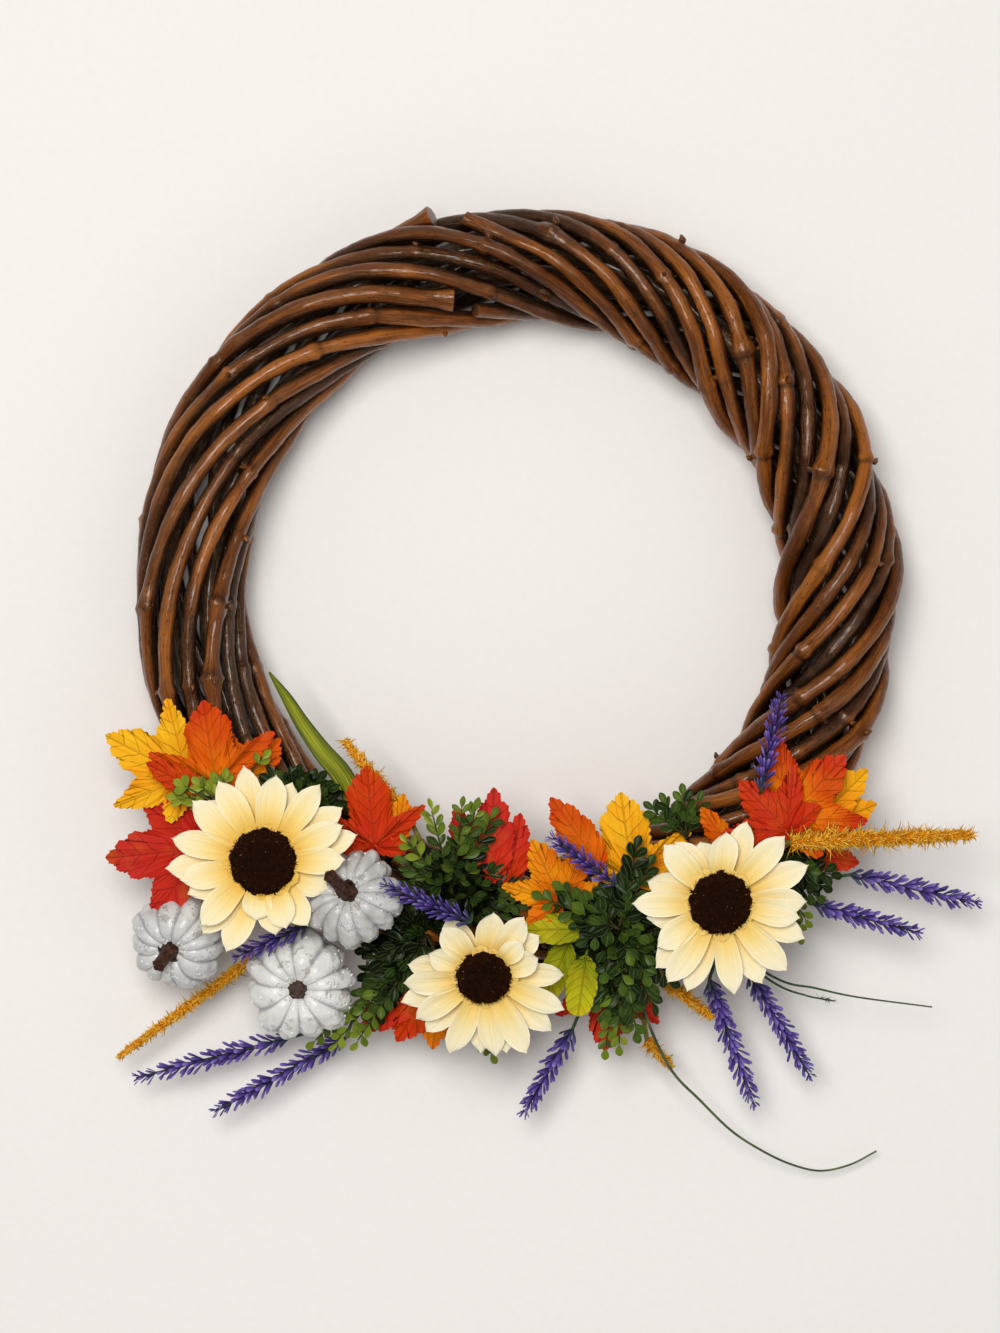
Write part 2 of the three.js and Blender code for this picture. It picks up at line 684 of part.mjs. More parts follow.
// Foxtails: golden heads with bristles on all sides
const FOXTAIL_STYLE = { sides: 4, rows: 12, core: 2, stalkRadius: 1.3, out: 3.6, ahead: 3, arch: 1 };
const FOXTAILS = [
  {
    name: "left", heads: [[[-136, -193, 27], [-208, -246, 24]]],
    stalk: [[-112, -176, 27], [-106, -171, 27]], heading: [1, 0.8, 0],
  },
  { name: "top", heads: [[[-54, -120, 60], [-88, -79, 60]]], stalk: [[-48, -132, 60]], style: { rows: 7 } },
  {
    name: "right", heads: [[[140, -130, 85], [234, -127, 70]]],
    stalk: [[130, -131, 85]], style: { rows: 14, core: 2.6 },
  },
  {
    name: "bottom",
    heads: [[[73, -201, 40], [103, -224, 36]], [[69, -236, 31], [82, -251, 28]]],
    stalk: [[64, -206, 36], [61, -199, 36]], heading: [-0.2, 1, 0], style: { rows: 4 },
  },
];

FOXTAILS.forEach(({ name, style, ...stem }, i) => (
  placeHeads({ ...stem, name: `foxtail_${name}`, seed: 700 + i }, { ...FOXTAIL_STYLE, ...style }, 0xd7961e)
));

// The broad grass blade that follows the edge of the hole
function placeBlade() {
  const line = new THREE.CatmullRomCurve3([
    [-127, -44, 52], [-118, -57, 54], [-110, -70, 56], [-100, -84, 57],
    [-90, -96, 57], [-85, -106, 56], [-84, -116, 54],
  ].map(vector));
  const halfWidths = [0.6, 3, 4.4, 5.6, 6.6, 6.4, 3];
  const points = [];
  const faces = [];
  halfWidths.forEach((half, k) => {
    const at = line.getPoint(k / 6);
    const side = line.getTangent(k / 6).cross(new THREE.Vector3(0, 0, 1)).normalize();
    [-1, 0, 1].forEach((way) => {
      const point = at.clone().addScaledVector(side, way * half);
      point.z += way === 0 ? 1.6 : 0;
      points.push(point);
    });
    if (k > 0) {
      const row = 3 * (k - 1);
      [0, 1].forEach((column) => {
        const a = row + column;
        faces.push([a, a + 1, a + 3], [a + 1, a + 4, a + 3]);
      });
    }
  });
  const blade = sheet(points, faces, 1);
  const foot = seatedStem([vector([-84, -114, 55]), vector([-84, -115, 54])], 1.4, 5);
  place("grass_blade", fuse([blade, foot]), 0x78911e, 0.6);
}

placeBlade();

// The long thin grass wire that reaches out at the lower right
function placeWire() {
  const long = new THREE.CatmullRomCurve3([
    [64, -206, 44], [70, -228, 42], [82, -252, 34], [97, -268, 28], [113, -284, 22], [129, -295, 17],
    [145, -303, 13], [161, -307, 10], [177, -304, 8], [191, -297, 7],
  ].map(vector));
  const lower = [new THREE.Vector3(63, -196, 45), ...long.getPoints(16)];
  const solids = [
    wire(lower, WIRE_RADIUS),
    seatedStem([vector([63, -198, 45]), vector([63, -197, 44])], 1.2, 5, vector([0, 1, -0.3])),
  ];
  place("grass_wire", fuse(solids), 0x3c4b28, 0.6);
}

placeWire();

// Maple leaves: lobes with cut edges, given as degrees from the middle vein and share of the length
const MAPLE_HALF = [
  [9, 0.78], [13, 0.79], [18, 0.6], [26, 0.44], [37, 0.62], [48, 0.8], [57, 0.6], [70, 0.36], [88, 0.47],
  [102, 0.46], [145, 0.14],
];
const STALK_TURN = 168;
const STALK_HALF = 0.9;
const STALK_DROP = 1.8;
const NARROW_HALF = [[6, 0.84], [10, 0.82], [15, 0.64], [21, 0.6], [30, 0.42], [60, 0.2]];
const WAVED_HALF = [[4, 0.95], [10, 0.82], [13, 0.66], [21, 0.55], [26, 0.38], [50, 0.22]];

// A leaf and its flat stalk in one sheet: a fan from the foot of the blade, then a strip to the joint
function leafSheet({ base, tip, half = MAPLE_HALF, roll = 0, curl = 0.05 }, joint) {
  const from = vector(base);
  const along = vector(tip).sub(from);
  const length = along.length();
  const stand = aim(from, along, roll);
  const mirrored = half.map(([turn, out]) => [-turn, out]).reverse();
  const outline = [[0, 1], ...half, [STALK_TURN, 0.06], [-STALK_TURN, 0.06], ...mirrored];
  const points = [new THREE.Vector3()];
  outline.forEach(([turn, out]) => {
    const angle = THREE.MathUtils.degToRad(turn);
    const sinus = out < 0.5 && Math.abs(turn) < 80 ? -0.05 * length : 0;
    const lift = length * (0.22 * (out - out * out) - curl * out ** 3) + sinus;
    points.push(new THREE.Vector3(out * length * Math.cos(angle), out * length * Math.sin(angle), lift));
  });
  points.forEach((point) => point.applyMatrix4(stand));
  const faces = outline.map((corner, i) => [0, 1 + i, 1 + ((i + 1) % outline.length)]);
  const left = 1 + outline.findIndex(([turn]) => turn === STALK_TURN);
  const side = new THREE.Vector3().crossVectors(new THREE.Vector3(0, 0, 1), joint.clone().sub(from));
  side.normalize().multiplyScalar(-STALK_HALF);
  const end = points.length;
  points.push(joint.clone().add(side), joint.clone().sub(side));
  faces.push([left + 1, left, end], [left + 1, end, end + 1]);
  return sheet(points, faces, BLADE);
}

// Stem from the joint of a spray straight down to the vines
function leg(joint, radius) {
  const top = joint.clone();
  top.z += 0.6;
  const foot = joint.clone();
  foot.z -= freeLength(joint, new THREE.Vector3(0, 0, -1), radius);
  return tube([top, foot], [radius, radius], 5);
}

// A leafy spray: leaves with their stalks drawn together, and one stem down to the vines
function placeSpray({ name, colour, root, leaves }) {
  const joint = vector(root);
  const sheets = leaves.map((leaf, i) => leafSheet(leaf, joint.clone().setZ(joint.z - STALK_DROP * i)));
  place(name, fuse([leg(joint, 1.5), ...sheets]), colour, 0.65);
}

const SPRAYS = [
  {
    name: "maple_left_upper", colour: 0xf0781e, root: [-148, -116, 62],
    leaves: [
      { base: [-162, -104, 73], tip: [-189, -90, 73], half: NARROW_HALF },
      { base: [-153, -101, 69], tip: [-160, -57, 71] },
      { base: [-141, -103, 63], tip: [-121, -78, 64] },
      { base: [-168, -98, 61], tip: [-210, -77, 57] },
    ],
  },
  {
    name: "maple_left_lower", colour: 0xc32323, root: [-141, -129, 62],
    leaves: [{ base: [-160, -134, 60], tip: [-213, -140, 52], curl: 0.06 }],
  },
  {
    name: "maple_centre_left", colour: 0xe14b14, root: [-63, -137, 64],
    leaves: [
      { base: [-72, -133, 68], tip: [-76, -93, 72] },
      { base: [-61, -132, 66], tip: [-57, -105, 68], half: NARROW_HALF },
    ],
  },
  {
    name: "maple_centre_red", colour: 0xc32323, root: [-11, -154, 62],
    leaves: [
      { base: [-12, -149, 68], tip: [-11, -104, 70], half: NARROW_HALF },
      { base: [-18, -151, 64], tip: [-31, -111, 67], half: NARROW_HALF },
      { base: [-3, -151, 64], tip: [3, -115, 65], half: NARROW_HALF },
    ],
  },
  {
    name: "maple_centre_right", colour: 0xfabe1e, root: [45, -156, 62],
    leaves: [
      { base: [43, -142, 71], tip: [18, -108, 73], half: NARROW_HALF },
      { base: [24, -162, 66], tip: [8, -129, 67] },
      { base: [60, -150, 64], tip: [54, -104, 66] },
    ],
  },
  {
    name: "maple_right", colour: 0xe6641e, root: [129, -137, 70],
    leaves: [
      { base: [135, -128, 74], tip: [145, -84, 76] },
      { base: [110, -134, 69], tip: [95, -113, 73], half: NARROW_HALF },
      { base: [121, -129, 68], tip: [114, -97, 70], half: NARROW_HALF },
      { base: [142, -126, 67], tip: [173, -84, 67] },
      { base: [150, -131, 64], tip: [187, -102, 57] },
      { base: [150, -138, 54], tip: [180, -143, 47], half: NARROW_HALF },
    ],
  },
  {
    name: "maple_bottom_left", colour: 0xe6641e, root: [-35, -190, 50],
    leaves: [{ base: [-40, -199, 48], tip: [-61, -235, 42] }],
  },
  {
    name: "maple_bottom_right", colour: 0xc83223, root: [50, -190, 52],
    leaves: [{ base: [50, -201, 40], tip: [47, -241, 32] }],
  },
  {
    name: "green_leaves", colour: 0xa5aa28, root: [39, -176, 64],
    leaves: [
      { base: [34, -177, 66], tip: [5, -177, 67], half: WAVED_HALF },
      { base: [38, -189, 60], tip: [29, -221, 52], half: WAVED_HALF },
    ],
  },
];

SPRAYS.forEach(placeSpray);

// Boxwood: slim ribs with pairs of small rounded leaves
const BOXWOOD_LEAF = 11;
const BOXWOOD_HALF_WIDTH = 3.8;
const LEAF_PAIR_PITCH = 10;
const LEAF_FOOT = 2.8;
const RIB_HALF = 0.8;

// A sprig in one sheet: a narrow rib, pairs of leaves grown from its edges, and one leaf at its end
function boxwoodSprig(joint, tip, draw) {
  const curve = bent(joint, tip, 3);
  const length = joint.distanceTo(tip) - BOXWOOD_LEAF;
  const pairs = Math.max(1, Math.round((0.75 * length) / LEAF_PAIR_PITCH));
  const points = [];
  const faces = [];

  function growLeaf(a, b, heading) {
    const middle = points[a].clone().lerp(points[b], 0.5);
    const across = points[b].clone().sub(points[a]);
    across.addScaledVector(heading, -across.dot(heading)).normalize();
    const spot = (along, wide) => middle.clone()
      .addScaledVector(heading, along * BOXWOOD_LEAF)
      .addScaledVector(across, wide * BOXWOOD_HALF_WIDTH);
    const n = points.length;
    points.push(spot(0.6, 1), spot(0.6, -1), spot(1, 0));
    faces.push([a, b, n], [a, n, n + 1], [n + 1, n, n + 2]);
  }

  function addRibRow(along) {
    const share = along / (length + BOXWOOD_LEAF);
    const at = curve.getPoint(share);
    const ahead = curve.getTangent(share);
    const left = new THREE.Vector3().crossVectors(new THREE.Vector3(0, 0, 1), ahead).normalize();
    const row = points.length;
    points.push(at.clone().addScaledVector(left, -RIB_HALF), at.clone().addScaledVector(left, RIB_HALF));
    return { row, ahead, left };
  }

  let last = addRibRow(0);
  for (let pair = 0; pair < pairs; pair += 1) {
    const along = length * (0.25 + (0.75 * (pair + 0.4)) / pairs);
    const low = addRibRow(along - LEAF_FOOT / 2);
    const high = addRibRow(along + LEAF_FOOT / 2);
    [[last, low], [low, high]].forEach(([from, to]) => {
      faces.push([from.row, to.row, to.row + 1], [from.row, to.row + 1, from.row + 1]);
    });
    [-1, 1].forEach((way) => {
      const heading = low.left.clone().multiplyScalar(way).addScaledVector(low.ahead, 0.4 + 0.5 * draw());
      heading.z += 0.9 * (draw() - 0.3);
      heading.normalize();
      if (way < 0) {
        growLeaf(high.row, low.row, heading);
      } else {
        growLeaf(low.row + 1, high.row + 1, heading);
      }
    });
    last = high;
  }
  const end = addRibRow(length);
  faces.push([last.row, end.row, end.row + 1], [last.row, end.row + 1, last.row + 1]);
  growLeaf(end.row + 1, end.row, end.ahead);
  return sheet(points, faces, BLADE);
}

const BOXWOOD = [
  { name: "1", root: [-150, -112, 79], tips: [[-182, -103, 79], [-166, -85, 80]] },
  { name: "2", root: [-108, -116, 64], tips: [[-113, -90, 70], [-138, -98, 66], [-92, -99, 66]] },
  {
    name: "3", root: [-32, -157, 72],
    tips: [[-24, -105, 79], [-56, -111, 76], [3, -126, 80], [-62, -143, 69], [6, -160, 70]],
  },
  { name: "4", root: [-45, -180, 62], tips: [[-50, -238, 46], [-88, -232, 47], [-76, -196, 54]] },
  {
    name: "5", root: [53, -175, 73],
    tips: [[40, -141, 70], [19, -167, 72], [28, -205, 70], [84, -188, 66], [60, -222, 58], [80, -152, 64]],
  },
  { name: "6", root: [88, -129, 69], tips: [[69, -110, 72], [98, -101, 74]] },
  { name: "7", root: [130, -141, 62], tips: [[168, -156, 56], [150, -188, 52]] },
];

BOXWOOD.forEach(({ name, root, tips }, number) => {
  const draw = drawsFrom(300 + number);
  const joint = vector(root);
  const sprigs = tips.map((tip, i) => (
    boxwoodSprig(joint.clone().setZ(joint.z - STALK_DROP * i), vector(tip), draw)
  ));
  place(`boxwood_${name}`, fuse([leg(joint, 1.3), ...sprigs]), 0x284b23, 0.4);
});

const wreath = new THREE.Group();
wreath.name = "vine_wreath";
pieces.forEach(({ name, solid, colour, roughness }) => {
  const material = new THREE.MeshStandardMaterial({ color: colour, roughness, metalness: 0 });
  const mesh = new THREE.Mesh(geometryOf(solid.translate(RING_CENTRE)), material);
  mesh.name = name;
  wreath.add(mesh);
});

export default wreath;
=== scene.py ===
import itertools
import math

import bpy
import numpy as np
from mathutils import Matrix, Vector
from mathutils.bvhtree import BVHTree


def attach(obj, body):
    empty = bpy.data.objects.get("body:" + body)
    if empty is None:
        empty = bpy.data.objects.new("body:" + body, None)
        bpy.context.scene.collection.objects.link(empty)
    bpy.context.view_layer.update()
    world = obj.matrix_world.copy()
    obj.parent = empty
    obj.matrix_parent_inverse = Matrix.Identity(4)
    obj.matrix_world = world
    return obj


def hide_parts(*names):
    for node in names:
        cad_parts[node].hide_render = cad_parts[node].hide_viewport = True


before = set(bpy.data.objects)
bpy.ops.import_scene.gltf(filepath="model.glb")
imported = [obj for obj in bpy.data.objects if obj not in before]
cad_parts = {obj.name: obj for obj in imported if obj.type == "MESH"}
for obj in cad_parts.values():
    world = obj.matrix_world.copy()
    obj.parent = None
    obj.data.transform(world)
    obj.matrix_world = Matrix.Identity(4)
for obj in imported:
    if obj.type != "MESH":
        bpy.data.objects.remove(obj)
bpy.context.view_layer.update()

# Camera
# The wreath lies on its back and is seen from straight above, from about two metres.

CAMERA_PLACE = (-0.0221, 0.0136, 2.0)
LENS = 101.9
SENSOR_WIDTH = 36

camera = bpy.data.objects.new("camera", bpy.data.cameras.new("camera"))
camera.data.lens = LENS
camera.data.sensor_width = SENSOR_WIDTH
camera.location = CAMERA_PLACE
bpy.context.scene.collection.objects.link(camera)
bpy.context.scene.camera = camera
bpy.context.scene.view_settings.view_transform = "Standard"


# Floor and light
# A plain off-white sheet under the wreath, and a large soft lamp at the upper left with a weaker one
# opposite, so that soft shadows fall to the lower right.

FLOOR_REACH = 3
FLOOR_LEVEL = -0.0004
ROOM_COLOUR = (1, 0.99, 0.98, 1)
ROOM_STRENGTH = 0.27


def shade(red, green, blue):
    """A colour given as it looks on a screen, 0 to 255, as the shaders take it."""
    shares = [channel / 255 for channel in (red, green, blue)]
    return tuple(c / 12.92 if c < 0.0405 else ((c + 0.055) / 1.055) ** 2.4 for c in shares) + (1,)


class Value:
    """A number, colour or vector on its way through a finish's nodes."""

    def __init__(self, finish, socket):
        self.finish = finish
        self.socket = socket

    def maths(self, operation, first, second=0.0):
        return self.finish.node("ShaderNodeMath", {"operation": operation}, {0: first, 1: second})

    def __add__(self, other):
        return self.maths("ADD", self, other)

    def __sub__(self, other):
        return self.maths("SUBTRACT", self, other)

    def __rsub__(self, other):
        return self.maths("SUBTRACT", other, self)

    def __mul__(self, other):
        return self.maths("MULTIPLY", self, other)

    def __truediv__(self, other):
        return self.maths("DIVIDE", self, other)

    def __rtruediv__(self, other):
        return self.maths("DIVIDE", other, self)

    __radd__ = __add__
    __rmul__ = __mul__

    def part(self):
        """What is left after the last whole number."""
        return self.maths("FRACT", self)

    def size(self):
        return self.maths("ABSOLUTE", self)

    def larger(self, other):
        return self.maths("MAXIMUM", self, other)

    def between(self, low, high):
        """0 below low, 1 above high, and a soft step between them."""
        settings = {"interpolation_type": "SMOOTHSTEP"}
        return self.finish.node("ShaderNodeMapRange", settings, {0: self, 1: low, 2: high})


class Finish:
    """A material whose look is worked out by nodes."""

    def __init__(self, name, **constants):
        self.material = bpy.data.materials.new(name)
        self.material.use_nodes = True
        self.tree = self.material.node_tree
        self.shader = self.tree.nodes["Principled BSDF"]
        for socket, value in constants.items():
            self.shader.inputs[socket.replace("_", " ")].default_value = value

    def node(self, kind, settings=None, sockets=None, out=0):
        made = self.tree.nodes.new(kind)
        for name, value in (settings or {}).items():
            if name == "stops":
                ramp = made.color_ramp
                while len(ramp.elements) < len(value):
                    ramp.elements.new(0.5)
                for element, (place, colour) in zip(ramp.elements, value):
                    element.position = place
                    element.color = colour
            else:
                setattr(made, name, value)
        for socket, value in (sockets or {}).items():
            self.feed(made.inputs[socket], value)
        return Value(self, made.outputs[out])

    def feed(self, socket, value):
        if isinstance(value, Value):
            self.tree.links.new(value.socket, socket)
        else:
            socket.default_value = value

    def noise(self, where, scale, detail=3.0, rough=0.5):
        sockets = {"Vector": where, "Scale": scale, "Detail": detail, "Roughness": rough}
        return self.node("ShaderNodeTexNoise", None, sockets)

    def cells(self, where, scale):
        return self.node("ShaderNodeTexVoronoi", None, {"Vector": where, "Scale": scale})

    def ramp(self, value, *stops):
        return self.node("ShaderNodeValToRGB", {"stops": stops}, {0: value})

    def mix(self, share, first, second):
        """A mix of two colours, on the Mix node's own sockets for colours."""
        return self.node("ShaderNodeMix", {"data_type": "RGBA"}, {0: share, 6: first, 7: second}, 2)

    def stored(self, name):
        """A number kept at the corners of the mesh."""
        return self.node("ShaderNodeAttribute", {"attribute_name": name}, None, 2)

    def stored_vector(self, name):
        return self.node("ShaderNodeAttribute", {"attribute_name": name}, None, 1)

    def stretched(self, where, scale):
        return self.node("ShaderNodeVectorMath", {"operation": "MULTIPLY"}, {0: where, 1: scale})

    def place(self):
        """The place in the object, in metres."""
        return self.node("ShaderNodeTexCoord", None, None, 3)

    def surface(self, colour, roughness=None, height=None, depth=0.001):
        self.feed(self.shader.inputs["Base Color"], colour)
        if roughness is not None:
            self.feed(self.shader.inputs["Roughness"], roughness)
        if height is not None:
            bump = self.node("ShaderNodeBump", None, {"Height": height, "Distance": depth})
            self.feed(self.shader.inputs["Normal"], bump)


def add_lamp(name, place, size, watts, colour):
    lamp = bpy.data.lights.new(name, "AREA")
    lamp.size = size
    lamp.energy = watts
    lamp.color = colour
    holder = bpy.data.objects.new(name, lamp)
    holder.location = place
    holder.rotation_euler = (-Vector(place)).to_track_quat("-Z", "Y").to_euler()
    bpy.context.scene.collection.objects.link(holder)


add_lamp("window", place=(-0.35, 0.45, 2.35), size=1.1, watts=45.5, colour=(1, 0.982, 0.965))
add_lamp("fill", place=(1.3, -0.9, 1.7), size=1.8, watts=5, colour=(0.97, 0.98, 1))

world = bpy.data.worlds.new("studio")
world.use_nodes = True
world.node_tree.nodes["Background"].inputs["Color"].default_value = ROOM_COLOUR
world.node_tree.nodes["Background"].inputs["Strength"].default_value = ROOM_STRENGTH
bpy.context.scene.world = world

floor_finish = Finish("floor_paper", Roughness=0.9)
floor_grain = floor_finish.noise(floor_finish.place(), 260, 4)
floor_colour = floor_finish.mix(floor_grain, shade(239, 235, 231), shade(243, 240, 236))
floor_finish.surface(floor_colour, height=floor_grain, depth=0.0002)
floor_mesh = bpy.data.meshes.new("floor")
floor_corners = [(-FLOOR_REACH, -FLOOR_REACH, FLOOR_LEVEL), (FLOOR_REACH, -FLOOR_REACH, FLOOR_LEVEL),
                 (FLOOR_REACH, FLOOR_REACH, FLOOR_LEVEL), (-FLOOR_REACH, FLOOR_REACH, FLOOR_LEVEL)]
floor_mesh.from_pydata(floor_corners, [], [(0, 1, 2, 3)])
floor_mesh.materials.append(floor_finish.material)
floor = bpy.data.objects.new("floor", floor_mesh)
bpy.context.scene.collection.objects.link(floor)


# Vines
# About a dozen dried grapevine canes wound round each other into a ring, held by their own twist.
# Each cane has swollen joints with buds, knots, long bark furrows and cut ends.
# Everything is laid out in millimetres from the middle of the ring's hole.

RING_CENTRE = np.array([-14.3, 54.64, 0.0])
RING_RADIUS = 169.5
RING_HEIGHT = 30
OUTER_REACH = 25.3
OUTER_SIDES = 5
INNER_REACH = 11
INNER_SIDES = 4
INNER_VINE_RADIUS = 6
THINNEST_VINE = 4.3
THICKEST_VINE = 5.6
VINE_STEPS = 33
BOTTOM_STEP = 25
TWIST_SWING = 0.5
FASTEST_TWIST = math.radians(15)
FIRST_PHASE = math.radians(163.5)
SEEN_ENDS = {0: 11, 9: 11}
JOINT_SWELL = 1.13
KNOT_SWELLS = [1.3, 1.35, 1.4, 1.5]
SLIMMER = 0.92
VINES = [f"vine_{number:02d}" for number in range(1, 14)]
INNER_VINES = ["vine_inner_1", "vine_inner_2"]
FLARED = ["vine_01", "vine_10"]
CANE_SIDES = 18
CANE_STEPS = 14
INNER_CANE_SIDES = 12
INNER_CANE_STEPS = 8
CANE_SEED = 40
CANE_NUMBERS = 4711
END_REACH = 0.3
END_STEPS = np.array([0.06, 0.12, 0.18, 0.24, 0.3])
CANE_WAVES = ((47, 0.045), (19, 0.03), (8, 0.016))
SCARS = 26
BUD_CHANCE = 0.9
FLOOR_GAP = 0.02
GAP_REACH = 21
BACK_DEPTH = 8.5


def unit(vectors):
    return vectors / np.linalg.norm(vectors, axis=-1, keepdims=True)


class Shape:
    """Corners, faces and the values kept at the corners, gathered until they become one piece."""

    def __init__(self):
        self.corners = []
        self.faces = []
        self.values = {}
        self.count = 0

    def add(self, corners, faces, **values):
        corners = np.asarray(corners, float).reshape(-1, 3)
        for group in faces:
            self.faces.extend((np.asarray(group) + self.count).tolist())
        for name, value in values.items():
            value = np.asarray(value, float)
            wide = (3,) if name == "grain" else ()
            self.values.setdefault(name, []).append(np.broadcast_to(value, (len(corners),) + wide))
        self.corners.append(corners)
        self.count += len(corners)

    def piece(self, name, finish, slot, *nodes):
        mesh = bpy.data.meshes.new(name)
        places = (np.concatenate(self.corners) + RING_CENTRE) / 1000
        mesh.from_pydata(places.tolist(), [], self.faces)
        mesh.shade_smooth()
        for value_name, parts in self.values.items():
            kept = np.concatenate(parts)
            kind, key = ("FLOAT", "value") if kept.ndim == 1 else ("FLOAT_VECTOR", "vector")
            mesh.attributes.new(value_name, kind, "POINT").data.foreach_set(key, kept.ravel())
        mesh.materials.append(finish.material)
        made = bpy.data.objects.new(name, mesh)
        bpy.context.scene.collection.objects.link(made)
        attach(made, "root")
        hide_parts(*nodes)


def corners_of(node):
    """The corners of a node of the frame, in millimetres from the middle of the ring's hole."""
    return np.array([corner.co[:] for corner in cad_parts[node].data.vertices]) * 1000 - RING_CENTRE


def drawn_numbers(state):
    """Numbers from 0 to 1, the same on each run."""
    while True:
        state = state * 16807 % 2147483647
        yield state / 2147483647


def lay_cane(number, inner, draws):
    """A cane as it is laid round the ring, before its neighbours press on it: its run, radii and joints."""
    start = BOTTOM_STEP - 3 + math.floor(6 * next(draws))
    if not inner and number in SEEN_ENDS:
        start = SEEN_ENDS[number]
    thick = INNER_VINE_RADIUS if inner else THINNEST_VINE + (THICKEST_VINE - THINNEST_VINE) * next(draws)
    sway = 2 * math.pi * next(draws)
    joints = [1 + math.floor(3 * next(draws))]
    while joints[-1] < VINE_STEPS:
        joints.append(joints[-1] + 2 + math.floor(3 * next(draws)))
    even = 2 * math.pi * (start + np.arange(VINE_STEPS)) / VINE_STEPS
    angle = even - TWIST_SWING / 2 * np.sin(even - FASTEST_TWIST)
    canes, turns, far = (2, 1, INNER_REACH) if inner else (13, 3, OUTER_REACH)
    turn = FIRST_PHASE + 2 * math.pi * number / canes - turns * (
        angle + TWIST_SWING * np.sin(angle - FASTEST_TWIST)) + 0.09 * np.sin(2 * angle + sway)
    reach = far + 1.6 * np.sin(3 * angle + 2 * sway) + np.sin(7 * angle - sway)
    out = RING_RADIUS + reach * np.cos(turn)
    run = np.stack([out * np.cos(angle), out * np.sin(angle), RING_HEIGHT + reach * np.sin(turn)], -1)
    taper = thick * (1.05 - 0.15 * np.arange(VINE_STEPS) / VINE_STEPS)
    return run, taper, [joint for joint in joints if joint < VINE_STEPS]


def ring_middle(corners, near, radius, sides):
    """Middle and radius of a many-sided cane's ring nearest a place, from what corners of it are left."""
    corners = corners[np.linalg.norm(corners - near, axis=1) < 15]
    if len(corners) < 3:
        return None
    picks = np.array(list(itertools.combinations(range(len(corners)), 3)))
    first, second, third = (corners[picks[:, i]] for i in range(3))
    a, b = second - first, third - first
    normal = np.cross(a, b)
    size = (normal ** 2).sum(1, keepdims=True) + 1e-12
    middles = first + (np.cross(normal, a) * (b ** 2).sum(1, keepdims=True)
                       + np.cross(b, normal) * (a ** 2).sum(1, keepdims=True)) / (2 * size)
    radii = np.linalg.norm(first - middles, axis=1)
    swells = np.array([1, JOINT_SWELL] + [s * j for s in KNOT_SWELLS for j in (1, JOINT_SWELL)]) * radius
    fits = np.abs(radii[:, None] - swells[None]).min(axis=1) < 0.02
    for p, q in ((first, second), (second, third), (third, first)):
        cosine = ((p - middles) * (q - middles)).sum(1) / radii ** 2
        steps = np.arccos(np.clip(cosine, -1, 1)) * sides / (2 * math.pi)
        fits &= np.abs(steps - np.round(steps)) < 0.02
    if not fits.any():
        return None
    middles, radii = middles[fits], radii[fits]
    best = np.linalg.norm(middles - near, axis=1).argmin()
    return np.append(middles[best], radii[best])


def settled_cane(node, number, draws):
    """Middle and radius of a cane at each step as it lies in the frame, and the steps of its joints."""
    inner = node in INNER_VINES
    sides = INNER_SIDES if inner else OUTER_SIDES
    free, radii, joints = lay_cane(number, inner, draws)
    corners = np.unique(np.round(corners_of(node), 3), axis=0)
    rings = [ring_middle(corners, free[k], radii[k], sides) for k in range(VINE_STEPS)]
    rings[0] = rings[-1] = None
    known = [k for k in range(VINE_STEPS) if rings[k] is not None]
    shifts = np.array([rings[k][:3] - free[k] for k in known])
    run = free + np.stack([np.interp(range(VINE_STEPS), known, shifts[:, axis]) for axis in range(3)], -1)
    for end, beside in ((0, 1), (-1, -2)):
        ring = ring_middle(corners, 1.3 * run[end] - 0.3 * run[beside], radii[end], sides)
        if ring is not None:
            run[end] = (ring[:3] + 0.3 * run[beside]) / 1.3
    swells = np.ones(VINE_STEPS)
    for k in known:
        swells[k] = rings[k][3] / radii[k]
    return run, radii, swells, joints


def through(points, shares):
    """Points on a smooth line through the given ones: share 2.5 is halfway from the third to the fourth."""
    points = np.asarray(points, float)
    padded = np.concatenate([[2 * points[0] - points[1]], points, [2 * points[-1] - points[-2]]])
    shares = np.asarray(shares, float)
    first = np.clip(shares.astype(int), 0, len(points) - 2)
    t = (shares - first)[:, None]
    a, b, c, d = (padded[first + k] for k in range(4))
    bend = 2 * a - 5 * b + 4 * c - d
    swerve = 3 * b - a - 3 * c + d
    return 0.5 * (2 * b + (c - a) * t + bend * t ** 2 + swerve * t ** 3)


def tube(line, radii, sides):
    """Corners and faces of a tube along a line; radii has a number for each step, or for each corner."""
    ahead = unit(np.gradient(line, axis=0))
    side = np.empty_like(line)
    side[0] = unit(np.cross(ahead[0], [0, 0, 1] if abs(ahead[0][2]) < 0.9 else [1, 0, 0]))
    for k in range(1, len(line)):
        side[k] = unit(side[k - 1] - ahead[k] * side[k - 1].dot(ahead[k]))
    over = np.cross(ahead, side)
    turn = 2 * math.pi * np.arange(sides) / sides
    ring = side[:, None] * np.cos(turn)[None, :, None] + over[:, None] * np.sin(turn)[None, :, None]
    radii = np.asarray(radii, float)
    wide = np.broadcast_to(radii[:, None] if radii.ndim == 1 else radii, (len(line), sides))
    corners = (line[:, None] + ring * wide[..., None]).reshape(-1, 3)
    row = np.arange(len(line) - 1)[:, None] * sides
    first = np.arange(sides)[None, :]
    second = (first + 1) % sides
    quads = np.stack([row + first, row + second, row + sides + second, row + sides + first], -1)
    quads = quads.reshape(-1, 4)
    start = len(corners)
    last = start - sides
    caps = [(start, (j + 1) % sides, j) for j in range(sides)]
    caps += [(start + 1, last + j, last + (j + 1) % sides) for j in range(sides)]
    return np.concatenate([corners, line[[0, -1]]]), [quads, np.array(caps)]


